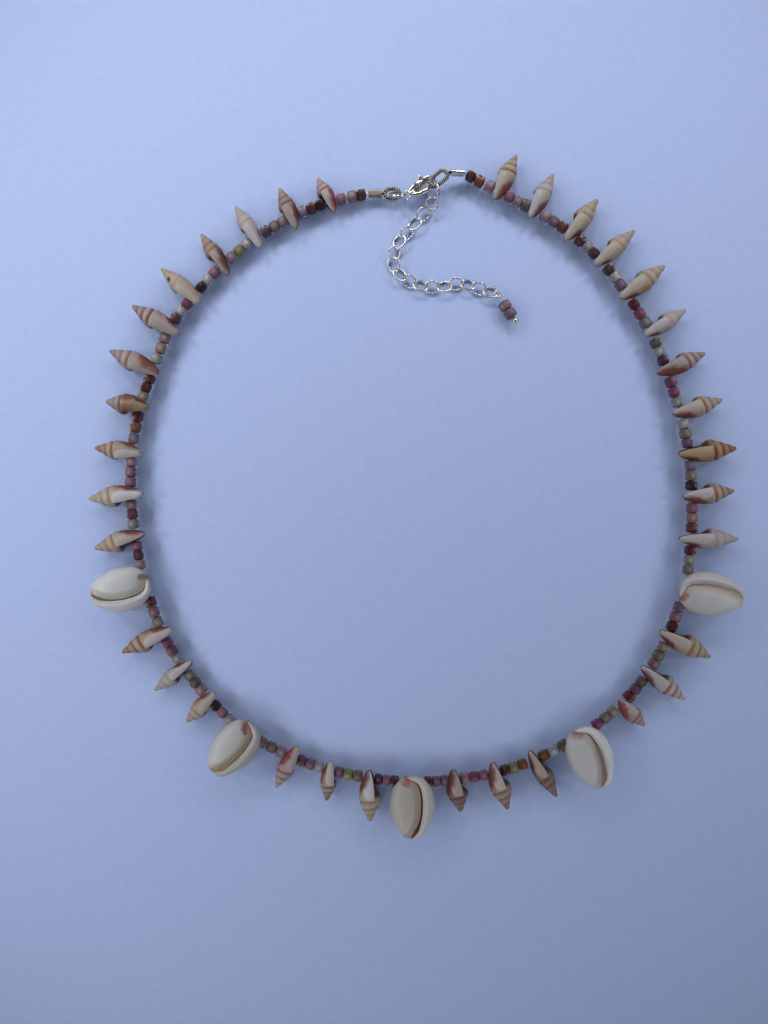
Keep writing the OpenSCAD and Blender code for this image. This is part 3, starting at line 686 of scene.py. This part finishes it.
def spindleMaster(name):
    around = spindle["outer"] + spindle["columella"] + spindle["wall"] + 1
    master = ringedTube(around, spindle["rings"])
    form = spindleForms[name]
    shapeRings(master, around, spindle["rings"], lambda ring, step: spindleVertex(form, ring, step))
    tidyMesh(master, 0.002)
    return master


def drill(piece, start, end, radius, sides=16):
    # a straight hole from start to end, cut with a round bit
    length = (end - start).length
    bit = cylinderAlongX(sides, radius, length)
    bit.data.transform(Matrix.Translation((length / 2, 0, 0)))
    bit.data.transform(aimed(start, end))
    cutAway(piece, bit)


def spindleFrame(shell):
    x, y, heading, length, width, inner, lip = shell[:7]
    return (Matrix.Translation((x, y, axisHeight(shell))) @ turned(heading, "Z") @ turned(dip, "Y")
            @ turned(lip - spindle["lipAngle"], "X") @ Matrix.Translation((-inner * length, 0, 0)))


def stainOf(piece, hole, lengthways, reach):
    # 1 at the hole, 0 where the stain ends, and drawn out along the shell
    values = []
    for vertex in piece.data.vertices:
        off = vertex.co - hole
        along = off.dot(lengthways)
        values.append(1 - math.hypot(0.6 * along, (off - lengthways * along).length) / (1.25 * reach))
    return values


# one shell has a round pit: share of its length, angle round it, reach and depth in mm
pits = {5: (0.7, 75, 0.72, 0.32)}
# broad rust patches: share of the length, angle round it, reach in mm
rusts = {7: [(0.27, 145, 3.2)], 8: [(0.47, 150, 3.2), (0.46, 60, 3.6)]}


def placeOn(shell, share, angle):
    turn = math.radians(angle)
    radius = shell[4] / 2 * curveAt(spindle["outline"], share)
    return spindleFrame(shell) @ Vector((share * shell[3], radius * math.cos(turn), radius * math.sin(turn)))


def pressPit(piece, n):
    share, angle, reach, depth = pits[n]
    shell = spindles[n - 1]
    middle = placeOn(shell, share, angle)
    inwards = (spindleFrame(shell) @ Vector((share * shell[3], 0, 0)) - middle).normalized()
    shares = []
    for vertex in piece.data.vertices:
        shares.append(1 - smoothStep(0.55 * reach, reach, (vertex.co - middle).length))
        vertex.co = vertex.co + inwards * depth * shares[-1]
    setTrait(piece, "pit", shares)


def addRust(piece, n):
    trait = piece.data.attributes["patch"].data
    middles = [(placeOn(spindles[n - 1], share, angle), reach) for share, angle, reach in rusts[n]]
    for vertex, at in zip(piece.data.vertices, trait):
        at.value = max([at.value] + [1 - (vertex.co - m).length / reach for m, reach in middles])


def scaleTrait(piece, name, factor):
    trait = piece.data.attributes[name].data
    values = [0.0] * len(trait)
    trait.foreach_get("value", values)
    trait.foreach_set("value", [v * factor for v in values])


def addSpindles():
    masters = {name: spindleMaster(name) for name in spindleForms}
    finishes = {name: wornShellMaterial("wornShell_" + name, look) for name, look in looks.items()}
    gaps = [g for g in range(1, len(stops) - 1) if g not in [stopOf(c) for c in cowries]]
    for n, (shell, gap) in enumerate(zip(spindles, gaps), 1):
        length, width = shell[3:5]
        form, look, reach, bands, patch = shell[7:]
        girth = width / 2 * spindleForms[form]["girth"]
        frameOf = spindleFrame(shell)
        piece = copyOf(masters[form], f"spindle_{n:02d}", frameOf @ scaled(length, girth, girth))
        if n in pits:
            pressPit(piece, n)
        before, after = beadPlace(gap - 1, 2), beadPlace(gap, 0)
        drill(piece, before, after, wire["bore"] / 2)
        middle = (before + after) / 2
        # where the drill went in, on the upper side
        hole = middle + (before - middle) * 0.55 + Vector((0, 0, 0.7))
        setTrait(piece, "stain", stainOf(piece, hole, frameOf.col[0].xyz, reach))
        scaleTrait(piece, "spire", bands)
        scaleTrait(piece, "patch", patch)
        if n in rusts:
            addRust(piece, n)
        toMetres(piece)
        piece.data.materials.append(finishes[look])
        smooth(piece, 50)
        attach(piece, "necklace")
        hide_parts(f"spindle_shell_{n:02d}")
    for master in masters.values():
        bpy.data.objects.remove(master)


addSpindles()
print("34 spindle shells are strung")


# Cowries

cowrie = {
    "rings": 104, "belly": 20, "right": 15, "slit": 7, "band": 9, "dome": 17,
    "length": 14.4, "width": 10.2, "height": 7.6, "face": 2.9, "rise": 6, "tooth": 0.72,
    # share of the length from the inner end, share of the half width
    "outline": [(0, 0.02), (0.006, 0.24), (0.02, 0.38), (0.05, 0.53), (0.1, 0.68), (0.15, 0.79), (0.2, 0.87),
                (0.3, 0.955), (0.4, 0.995), (0.5, 0.995), (0.6, 0.95), (0.7, 0.87), (0.8, 0.75),
                (0.9, 0.59), (0.95, 0.49), (0.98, 0.41), (0.994, 0.3), (1, 0.02)],
    # share of the length, mm from the middle line
    "slitPath": [(0, -2.0), (0.04, -1.35), (0.07, -0.1), (0.1, 0.8), (0.15, 1.45), (0.22, 1.8), (0.37, 2.1),
                 (0.5, 2.1), (0.62, 1.95), (0.74, 1.6), (0.85, 1.05), (0.93, 0.4), (1, -0.4)],
    "slitHalf": [(0, 0.12), (0.1, 0.14), (0.3, 0.2), (0.6, 0.2), (0.75, 0.3), (0.86, 0.5), (0.93, 0.4),
                 (1, 0.2)],
    "bandWide": 1.25,
}
slitTrack = [Vector((k / 60 * cowrie["length"], curveAt(cowrie["slitPath"], k / 60))) for k in range(61)]


def besideSlit(along, y, slitY):
    # the true distance to the slit's middle line, and which side of it
    here = Vector((along, y))
    nearest = 99
    for a, b in zip(slitTrack, slitTrack[1:]):
        leg = b - a
        t = min(max((here - a).dot(leg) / leg.length_squared, 0), 1)
        nearest = min(nearest, (here - a - leg * t).length)
    return math.copysign(nearest, y - slitY)


def cowrieVertex(ring, step):
    t = ring / (cowrie["rings"] - 1)
    share = 0.7 * t + 0.3 * (0.5 - 0.5 * math.cos(math.pi * t))
    along = share * cowrie["length"]
    size = curveAt(cowrie["outline"], share)
    half = size * cowrie["width"] / 2
    right, slit, band, dome = (cowrie[k] for k in ("right", "slit", "band", "dome"))
    if step >= right + slit + band + dome:
        k = (step - right - slit - band - dome + 1) / (cowrie["belly"] + 1)
        turn = math.pi * (1 + k)
        height = cowrie["height"] / 2 * size ** 0.85
        place = Vector((along, half * math.cos(turn), height * math.sin(turn)))
        return place, {"alongMm": along, "sideMm": place.y, "toSlit": 9.0, "sunk": 0.0}
    limit = 0.8 * half
    slitY = min(max(curveAt(cowrie["slitPath"], share), -limit), limit)
    slitHalf = min(curveAt(cowrie["slitHalf"], share), 0.3 * half)
    bandWide = min(cowrie["bandWide"], (half + slitY - slitHalf) * 0.5)
    if step < right:  # from the side of the lip up to the slit's edge
        y = between(half, slitY + slitHalf, math.sin(step / right * math.pi / 2) ** 1.25)
    elif step < right + slit:
        y = slitY + slitHalf * (1 - 2 * (step - right) / (slit - 1))
    elif step < right + slit + band:
        y = slitY - slitHalf - bandWide * (step - right - slit + 1) / band
    else:
        k = (step - right - slit - band + 1) / dome
        y = between(slitY - slitHalf - bandWide, -half, 1 - math.cos(k * math.pi / 2))
    rim = max(0, 1 - abs(y / half) ** 2.3) if half > 0 else 0
    z = cowrie["face"] * size ** 0.8 * rim ** 0.5
    beside = besideSlit(along, y, slitY)
    tooth = 0.5 - 0.5 * math.cos(math.tau * along / cowrie["tooth"])
    toothed = smoothStep(0.1, 0.18, share) * (1 - smoothStep(0.84, 0.93, share))
    inSlit = right <= step < right + slit
    if inSlit:
        sunk = between(1.0, 1.55, 1 - ((y - slitY) / max(slitHalf, 0.01)) ** 2)
    elif beside > 0:  # the rolled lip: steep at the slit, then a round crest
        sunk = 0.95 * (1 - smoothStep(0.05, 1.15, beside)) - 0.12 * hump(beside, 1.5, 0.8)
        sunk += 0.1 * tooth * toothed * (1 - smoothStep(0.2, 1.2, beside))
    else:  # the toothed band slopes down from the dome
        off = -beside
        sunk = 1.12 * math.exp(-((off / 1.7) ** 1.6)) + 0.07 * hump(off, 1.35, 0.18)
        sunk += 0.12 * tooth * toothed * (1 - smoothStep(0.7, 1.3, off))
    # less is sunk towards both ends, and nothing at the rim, where top and belly meet
    fade = min(1, size * 1.3) * (0.4 + 0.6 * smoothStep(0, 0.06, share))
    fade *= 1 - 0.5 * smoothStep(0.93, 1, share)
    fade *= smoothStep(0, 0.3, rim)
    if abs(abs(y - slitY) - slitHalf) < 0.02:
        y += min(0.08, 0.28 * slitHalf) * tooth * toothed * math.copysign(1, slitY - y)
    return Vector((along, y, z - sunk * fade)), {
        "alongMm": along, "sideMm": y, "toSlit": beside,
        "sunk": 1.6 if right < step < right + slit - 1 else min(sunk, 1.0),  # 1.6 is the slit's floor
    }


def cowrieMaster():
    around = sum(cowrie[k] for k in ("right", "slit", "band", "dome", "belly"))
    master = ringedTube(around, cowrie["rings"])
    shapeRings(master, around, cowrie["rings"], cowrieVertex)
    tidyMesh(master, 0.004)
    return master


def openSlit(piece, gape, fill):
    # a slit gapes wider towards the outer end, and is shallow where it is filled
    traits = [piece.data.attributes[name].data for name in ("toSlit", "sunk")]
    for vertex, toSlit, sunk in zip(piece.data.vertices, *traits):
        share = vertex.co.x / cowrie["length"]
        half = curveAt(cowrie["slitHalf"], share)
        away = abs(toSlit.value)
        shift = gape * smoothStep(0.15, 0.5, share) * (1 - smoothStep(0.9, 1, share))
        shift *= min(1, away / half) * (1 - smoothStep(half, half + 1.3, away))
        vertex.co.y += math.copysign(shift, toSlit.value)
        if sunk.value > 1.5:
            vertex.co.z += fill * smoothStep(0.02, 0.15, share) * (1 - smoothStep(0.9, 1, share))


def addCowries():
    master = cowrieMaster()
    for n, row in enumerate(cowries, 1):
        x, y, heading, length, width, inner, _, aside = row[:8]
        body, lip, slit, band, warmth, gape, fill, spotColour, spots = row[8:]
        rise = math.radians(cowrie["rise"])
        lift = math.hypot(length / 2 * math.sin(rise), cowrie["height"] / 2 * math.cos(rise)) + restGap
        place = (Matrix.Translation((x, y, 0)) @ turned(heading, "Z")
                 @ Matrix.Translation(((0.5 - inner) * length, aside, lift)) @ turned(-cowrie["rise"], "Y")
                 @ Matrix.Translation((-length / 2, 0, 0)))
        piece = copyOf(master, f"cowry_{n}", Matrix.Identity(4))
        openSlit(piece, gape, fill)
        piece.data.transform(place @ scaled(length / cowrie["length"], width / cowrie["width"], 1))
        gap = stopOf(row)
        middle = stops[gap][0]
        for nextBead in (beadPlace(gap - 1, 2), beadPlace(gap, 0)):
            # each hole goes a little past the middle, so that the two meet
            drill(piece, nextBead, middle + (middle - nextBead) * 0.15, wire["bore"] / 2)
        alongs, sides = [[v.value for v in piece.data.attributes[t].data] for t in ("alongMm", "sideMm")]
        setTrait(piece, "spot", [
            max([0.0] + [1 - math.hypot(a - s * cowrie["length"], b - c) / (1.6 * r) for s, c, r in spots])
            for a, b in zip(alongs, sides)
        ])
        toMetres(piece)
        piece.data.materials.append(glazedCowrieMaterial(f"glazedCowry_{n}", {
            "body": body, "lip": lip, "cloud": "#bdb4a6", "trough": band, "slit": slit, "spot": spotColour,
            "warmth": warmth,
        }))
        smooth(piece, 50)
        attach(piece, "necklace")
        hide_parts(f"cowrie_{n}")
    bpy.data.objects.remove(master)


addCowries()
print("5 cowries are strung")


# Stone beads

stones = {
    "clear": {
        "clear": "#d3d2da", "pinkClear": "#c4a4ae", "mauveClear": "#a893ac", "paleSage": "#bebfbc",
        "yellowGreen": "#aeb078", "paleOlive": "#b8afa0", "pink": "#bd8292", "plumPink": "#965478",
        "magenta": "#a45884", "purpleClear": "#957499", "tanClear": "#b8a48e"},
    "milky": {
        "tanPink": "#a88890", "dustyPink": "#9c6d7c", "beige": "#a89788", "tanGrey": "#94887e",
        "sage": "#90918a", "mauve": "#8c6884", "mauvePink": "#976a80", "greySage": "#86867f",
        "olive": "#7c7462"},
    "deep": {
        "darkMauve": "#604054", "plum": "#542c46", "garnet": "#541a2e", "redGarnet": "#601c24",
        "brown": "#4e2a28", "amber": "#80502c", "oliveGrey": "#605c50", "nearBlack": "#281820",
        "blackAmber": "#2a1606", "navy": "#11131c", "rustBrown": "#703e32"},
}
# the three stones of every gap, from the clasp's left side down the left, round and up the right
beadChart = [
    "brown tanPink pink", "nearBlack garnet mauveClear", "pinkClear tanGrey darkMauve",
    "clear yellowGreen pinkClear", "dustyPink clear blackAmber", "plumPink clear plum",
    "tanPink beige paleSage", "garnet brown beige", "garnet amber mauveClear",
    "pinkClear mauvePink mauve", "tanPink darkMauve sage", "mauvePink plum pinkClear",
    "redGarnet dustyPink sage", "plumPink plumPink paleSage", "sage oliveGrey tanPink",
    "nearBlack dustyPink paleSage", "dustyPink olive pinkClear", "darkMauve mauve clear",
    "mauve yellowGreen olive", "plum mauvePink garnet", "garnet mauve mauve",
    "pinkClear magenta mauvePink", "brown tanGrey amber", "amber clear oliveGrey",
    "magenta greySage paleOlive", "redGarnet plumPink oliveGrey", "dustyPink olive tanClear",
    "garnet mauvePink purpleClear", "greySage paleSage redGarnet", "rustBrown tanPink mauvePink",
    "navy tanGrey mauveClear", "purpleClear greySage clear", "paleSage magenta plumPink",
    "plum clear oliveGrey", "greySage magenta redGarnet", "mauve clear brown",
    "plum paleSage garnet", "rustBrown mauve pinkClear", "oliveGrey pinkClear mauvePink",
    "pinkClear amber brown",
]


def beadMaster():
    # a sawn cube with its corners tumbled off and a hole drilled along X
    deselectAll()
    bpy.ops.mesh.primitive_cube_add(size=1)
    master = bpy.context.object
    size = (bead["shortest"], bead["w"], bead["w"])
    master.data.transform(scaled(*size))
    inEditMode(
        master,
        lambda: bpy.ops.mesh.select_all(action="SELECT"),
        lambda: bpy.ops.mesh.bevel(offset=bead["corner"], segments=2, profile=bead["roundness"]),
    )
    drill(master, Vector((-3, 0, 0)), Vector((3, 0, 0)), bead["boreRadius"], 10)
    # where each point is in the stone, from -1 to 1, for the painted shade towards its edges
    inStone = master.data.attributes.new("inStone", "FLOAT_VECTOR", "POINT")
    for vertex, at in zip(master.data.vertices, inStone.data):
        at.vector = [2 * c / s for c, s in zip(vertex.co, size)]
    return master


def addStone(master, name, place, stretch, key, finishes):
    piece = copyOf(master, name, place @ scaled(*stretch))
    kind = next(k for k in stones if key in stones[k])
    colour = linear(stones[kind][key])
    setTrait(piece, "stone", [*colour] * len(piece.data.vertices), "FLOAT_COLOR")
    toMetres(piece)
    piece.data.materials.append(finishes[kind])
    return piece


def tubeAlong(name, points, radius, sides=8, closed=False):
    # a round wire through the points, as a mesh
    curve = bpy.data.curves.new(name, "CURVE")
    curve.dimensions = "3D"
    curve.bevel_depth = radius * mm
    curve.bevel_resolution = max(0, sides // 4 - 1)
    curve.use_fill_caps = not closed
    line = curve.splines.new("POLY")
    line.points.add(len(points) - 1)
    for at, p in zip(line.points, points):
        at.co = (*(Vector(p) * mm), 1)
    line.use_cyclic_u = closed
    return meshOfCurve(name, curve, 0.001 * mm)


def wirePoints(first, last):
    points = []
    for gap in range(first, last):
        points += [beadPlace(gap, k) for k in range(3)]
    if first == 0:
        inwards = (leftCrimpEnd - leftMouth).normalized()
        points = [leftMouth + inwards * wireInCrimp, leftMouth, stops[0][0], *points]
    else:
        points = [stops[first][0], *points]
    if last == len(stops) - 1:
        inwards = (rightCrimpEnd - rightMouth).normalized()
        points += [stops[last][0], rightMouth, rightMouth + inwards * wireInCrimp]
    else:
        points.append(stops[last][0])
    return points


def addStrands(finishes, steel):
    master = beadMaster()
    ends = [0, *[stopOf(c) for c in cowries], len(stops) - 1]
    for n, (first, last) in enumerate(zip(ends, ends[1:]), 1):
        parts = []
        for gap in range(first, last):
            length, shares = beadRow(gap)
            for k, t in enumerate(shares):
                count = 3 * gap + k
                wobble = 1 + bead["wobble"] * math.sin(5.3 * count)  # hand-cut stones differ a little
                lean = bead["lean"] * math.sin(7.9 * count)
                place = aimed(onWire(gap, t), onWire(gap, t + 0.02)) @ turned(lean, "X")
                long = (length - bead["gap"]) / bead["shortest"]
                stretch = (long, wobble * bead["fit"], (2 - wobble) * bead["fit"])
                parts.append(addStone(master, f"stone_{count}", place, stretch,
                                      beadChart[gap].split()[k], finishes))
        strand = joined(parts, f"stones_{n}")
        smooth(strand, 35)
        thread = tubeAlong(f"wire_{n}", wirePoints(first, last), wire["d"] / 2 * 0.8)
        thread.data.materials.append(steel)
        smooth(thread, 60)
        for piece, slot in ((strand, "stone_beads"), (thread, "plated_metal")):
            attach(piece, "necklace")
        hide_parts(f"bead_strand_{n}")
    return master


stoneFinishes = {
    "clear": stoneMaterial("tumbledStone_clear", 0.45, 0.3),
    "milky": stoneMaterial("tumbledStone_milky", 0.2, 0.4),
    "deep": stoneMaterial("tumbledStone_deep", 0.1, 0.26),
}
silver = silverPlateMaterial("silverPlate", 0.14, "#dcdad6", "#a89c88")  # clasp, rings and chain, polished
steel = silverPlateMaterial("beadingWire", 0.25, "#d0ccc8", "#a59a90")  # the wire the strand is on, drawn
shadeDarkWire = silverPlateMaterial("sleevedWireInShade", 0.5, "#2f2c2b", "#242120")  # the wire inside a coil and its tail, grey wire painted dark as the shade between the coil's turns
coilMetal = silverPlateMaterial("coilMetal", 0.3, "#c6beb2", "#978d7e")  # the fine coil round it
reflectionTintedCrimp = silverPlateMaterial("reflectionTintedCrimp", 0.4, "#9a9389", "#777067")  # the left crimp, a dull warm grey painted in for the brown it reflects
castBack = silverPlateMaterial("castBack", 0.5, "#b4b4bc", "#8f8d8c")  # the clasp's back, left as cast
stoneMaster = addStrands(stoneFinishes, steel)
print("120 beads and their wire are strung")


# Clasp, rings and chain

clasp = {
    "eye": (-2.3, 68.9, 2.1), "turn": 29, "t": 1.26, "leverT": 0.7, "pivot": (3.3, 0.95), "pin": 0.6,
    "eyeRadius": 0.94, "eyeWire": 0.2, "backT": 0.2, "backHeight": -0.52, "play": 0.05, "pinProud": 0.04,
    # the cast arms: along the clasp, across it, radius
    "lower": [(0.8, -0.3, 0.4), (1.6, -0.66, 0.5), (2.6, -1.02, 0.56), (4.0, -1.15, 0.56),
              (5.6, -1.18, 0.5), (6.76, -0.99, 0.42), (7.36, -0.3, 0.44), (7.46, 0.45, 0.42),
              (7.28, 1.05, 0.36), (7.02, 1.42, 0.24)],
    "upper": [(0.8, 0.3, 0.4), (1.6, 0.62, 0.52), (2.6, 0.98, 0.62), (3.5, 1.05, 0.64), (4.4, 1.1, 0.52),
              (5.0, 1.2, 0.34)],
    "neck": [(0.8, 0, 0.36), (1.5, 0, 0.48), (2.2, 0, 0.3)],
    # the thin back that joins the arms below the lever
    "back": [(1.4, 0.3), (2.4, 0.85), (3.6, 1.05), (4.9, 1.1), (6.1, 1.05), (6.3, 0.7), (5.6, 0.2),
             (5.4, -0.5), (5.2, -1.1), (4, -1.15), (2.6, -0.95), (1.5, -0.5)],
    "lever": [(2.75, 1.25), (2.62, 0.85), (2.85, 0.45), (3.3, 0.27), (3.9, 0.6), (4.5, 1.0), (5.6, 1.03),
              (6.7, 1.03), (6.72, 1.36), (6.1, 1.6), (5.5, 1.7), (5.1, 2.2), (4.85, 2.48), (4.35, 2.45),
              (4.15, 2.05), (3.9, 1.62), (3.3, 1.62)],
    # the lever's slot in the upper arm: from and to along the clasp, from and to across it
    "slot": (2.3, 6.3, 0.05, 3.3),
}


def drawLine(curve, rows, closed):
    # a smooth line through the rows: along the clasp, across it and, on an arm, the radius
    line = curve.splines.new("BEZIER")
    line.bezier_points.add(len(rows) - 1)
    for at, (x, y, *radius) in zip(line.bezier_points, rows):
        at.co = (x, y, 0)
        at.radius = radius[0] if radius else 1
        at.handle_left_type = at.handle_right_type = "AUTO"
    line.use_cyclic_u = closed


def flatPlate(name, outline, thickness, edge):
    # a flat plate with rounded edges
    curve = bpy.data.curves.new(name, "CURVE")
    curve.dimensions = "2D"
    curve.fill_mode = "BOTH"
    curve.resolution_u = 4
    curve.extrude = thickness / 2 - edge
    curve.bevel_depth = edge
    curve.bevel_resolution = 3
    curve.offset = -edge
    drawLine(curve, outline, True)
    return meshOfCurve(name, curve, 0.003)


def castArm(name, rows, closed=False):
    # a round bar of changing thickness through the rows, in the clasp's plane
    curve = bpy.data.curves.new(name, "CURVE")
    curve.dimensions = "3D"
    curve.resolution_u = 5
    curve.bevel_depth = 1
    curve.bevel_resolution = 3
    curve.use_fill_caps = not closed
    drawLine(curve, rows, closed)
    return meshOfCurve(name, curve, 0.001)


def cutSlot(arm):
    x0, x1, y0, y1 = clasp["slot"]
    deselectAll()
    bpy.ops.mesh.primitive_cube_add(size=1)
    slot = bpy.context.object
    middle = Matrix.Translation(((x0 + x1) / 2, (y0 + y1) / 2, 0))
    slot.data.transform(middle @ scaled(x1 - x0, y1 - y0, clasp["leverT"] + 2 * clasp["play"]))
    cutAway(arm, slot)


def pivotPin():
    deselectAll()
    bpy.ops.mesh.primitive_cylinder_add(
        vertices=24, radius=clasp["pin"] / 2, depth=clasp["t"] + clasp["pinProud"],
        location=(*clasp["pivot"], 0))
    pin = bpy.context.object
    bpy.ops.object.transform_apply()
    inEditMode(pin, lambda: bpy.ops.mesh.select_all(action="SELECT"),
               lambda: bpy.ops.mesh.bevel(offset=0.05, segments=2))
    return pin


def addClasp():
    place = Matrix.Translation(clasp["eye"]) @ turned(clasp["turn"], "Z")
    upper = castArm("upperArm", clasp["upper"])
    cutSlot(upper)
    pin = pivotPin()
    r = clasp["eyeRadius"]
    eye = [(r * math.cos(k * math.pi / 4), r * math.sin(k * math.pi / 4), clasp["eyeWire"]) for k in range(8)]
    back = flatPlate("back", clasp["back"], clasp["backT"], 0.05)
    back.data.transform(Matrix.Translation((0, 0, clasp["backHeight"])))
    parts = [upper, castArm("lowerArm", clasp["lower"]), castArm("neck", clasp["neck"]),
             castArm("eye", eye, True), pin]
    lever = flatPlate("clasp_trigger", clasp["lever"], clasp["leverT"], 0.15)
    for part in (*parts, lever):
        part.data.materials.append(silver)
    back.data.materials.append(castBack)
    body = joined([*parts, back], "lobster_clasp")
    # the drill is aimed a hair off upright, so that its way has a heading
    px, py = clasp["pivot"]
    drill(lever, Vector((px, py, -2)), Vector((px, py + 0.0001, 2)), clasp["pin"] / 2 + clasp["play"])
    for piece, ridesOn, node in ((body, "necklace", "clasp_body"), (lever, "lever", "clasp_lever")):
        piece.data.transform(place)
        toMetres(piece)
        smooth(piece, 45)
        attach(piece, ridesOn)
        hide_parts(node)


# a loop of beading wire sleeved in a fine coil; its long axis, and where its tail goes
coil = {"wire": 0.12, "middle": 0.43, "pitch": 0.5, "loop": 1.1, "perTurn": 14, "core": 0.4, "tail": 0.3,
        "tailIn": 0.5}
coils = {
    "left": {"far": Vector((-4.95, 69.6, 1.45)), "near": Vector((-6.1, 69.6, 1.45)), "to": leftCrimpEnd},
    "right": {"far": Vector((4.06, 71.5, 3.28)), "near": Vector((5.91, 73.1, 3.2)), "to": rightCrimpEnd},
}


def longLoopPoint(length, share):
    # a point and the way outwards on a loop with round ends, in its own plane
    r = coil["loop"]
    at = share * (math.tau * r + 2 * length)
    # an end and the straight after it, there and back
    for x, way in ((0, 1), (length, -1)):
        if at < math.pi * r:
            turn = way * math.pi / 2 + at / r
            across, up = math.cos(turn), math.sin(turn)
            return Vector((x + r * across, r * up, 0)), Vector((across, up, 0))
        at -= math.pi * r
        if at < length or way == -1:
            return Vector((x + way * at, -way * r, 0)), Vector((0, -way, 0))
        at -= length


def addCoils():
    for side, row in coils.items():
        length = (row["near"] - row["far"]).length
        place = aimed(row["far"], row["near"])
        whole = math.tau * coil["loop"] + 2 * length
        turns = round(whole / coil["pitch"])
        helix = []
        for k in range(turns * coil["perTurn"]):
            middle, outwards = longLoopPoint(length, k / (turns * coil["perTurn"]))
            wound = math.tau * k / coil["perTurn"]
            offset = outwards * math.cos(wound) + Vector((0, 0, math.sin(wound)))
            helix.append(place @ (middle + offset * coil["middle"]))
        core = [place @ longLoopPoint(length, k / 40)[0] for k in range(40)]
        tailStart = row["near"] + coil["loop"] * (row["near"] - row["far"]).normalized()
        way = (row["to"] - tailStart).normalized()
        parts = [
            tubeAlong("coil", helix, coil["wire"], 8, True),
            tubeAlong("core", core, coil["core"], 8, True),
            tubeAlong("tail", [tailStart, row["to"] + way * coil["tailIn"]], coil["tail"], 8),
        ]
        for part, finish in zip(parts, (coilMetal, shadeDarkWire, shadeDarkWire)):
            part.data.materials.append(finish)
        piece = joined(parts, f"coil_{side}")
        smooth(piece, 60)
        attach(piece, "necklace")
        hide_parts(f"coil_loop_{side}")


chain = {"long": 3.7, "wide": 3.2, "wire": 0.45, "pitch": 2.77, "tilt": 24, "height": 0.83}
# the middles of the links, as they lie
chainRoute = [(1.55, 65.0), (0.2, 63.5), (-1.6, 61.3), (-3.7, 59.0), (-4.9, 56.6), (-5.35, 54.0),
              (-4.6, 51.9), (-2.6, 50.1), (0.0, 48.8), (2.8, 48.2), (5.6, 48.15), (8.3, 48.8), (10.9, 49.2),
              (13.4, 48.2), (16.0, 47.5), (17.2, 47.1)]


def evenly(route, pitch):
    # points a pitch apart along a route
    points = [Vector((*p, 0)) for p in route]
    total = sum((b - a).length for a, b in zip(points, points[1:]))
    count = round(total / pitch)
    found = []
    for n in range(count + 1):
        at = total * n / count
        for a, b in zip(points, points[1:]):
            leg = (b - a).length
            if at <= leg + 1e-6:
                found.append(a + (b - a) * at / leg)
                break
            at -= leg
    return found


def addChain():
    deselectAll()
    bpy.ops.mesh.primitive_torus_add(major_segments=28, minor_segments=10, minor_radius=chain["wire"] / 2,
                                     major_radius=(chain["wide"] - chain["wire"]) / 2)
    master = bpy.context.object
    stretch = (chain["long"] - chain["wide"]) / 2
    for vertex in master.data.vertices:
        vertex.co.x += math.copysign(stretch, vertex.co.x) * min(1, abs(vertex.co.x))
    middles = evenly(chainRoute, chain["pitch"])
    parts = []
    for n, middle in enumerate(middles):
        ahead = middles[min(n + 1, len(middles) - 1)]
        behind = middles[max(n - 1, 0)]
        lift = Vector((0, 0, chain["height"]))
        tilt = chain["tilt"] * (1 if n % 2 else -1)
        place = Matrix.Translation(middle + lift) @ aimed(Vector(), ahead - behind) @ turned(tilt, "X")
        parts.append(copyOf(master, f"link_{n}", place))
    bpy.data.objects.remove(master)
    links = joined(parts, "chain_links")
    toMetres(links)
    links.data.materials.append(silver)
    smooth(links, 60)
    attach(links, "necklace")
    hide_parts("extender_chain")


# the head pin of the frame, and how far along it the middles of its two beads are
endPin = {"start": Vector((18.7, 46.5, 1.35)), "end": Vector((22.7, 40.3, 1.65)), "places": (3.15, 5.4),
          "beadLong": 2.15, "beadWide": 0.95}


def addEndBeads(master, finishes):
    stretch = (endPin["beadLong"] / bead["shortest"], endPin["beadWide"], endPin["beadWide"])
    for n, (at, key) in enumerate(zip(endPin["places"], ("tanPink", "mauve")), 1):
        middle = endPin["start"] + (endPin["end"] - endPin["start"]).normalized() * at
        place = aimed(middle, endPin["end"]) @ turned(20 + 30 * n, "X")
        piece = addStone(master, f"end_stone_{n}", place, stretch, key, finishes)
        smooth(piece, 35)
        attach(piece, "necklace")
        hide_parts(f"end_bead_{n}")
    bpy.data.objects.remove(master)


def finishMetalNodes():
    for name in ("crimp_left", "crimp_right", "tail_ring", "jump_ring", "chain_ring", "head_pin"):
        nodes[name].data.materials.clear()
        nodes[name].data.materials.append(reflectionTintedCrimp if name == "crimp_left" else silver)


addClasp()
addCoils()
addChain()
addEndBeads(stoneMaster, stoneFinishes)
finishMetalNodes()
print("clasp, rings, chain and end beads are in place")
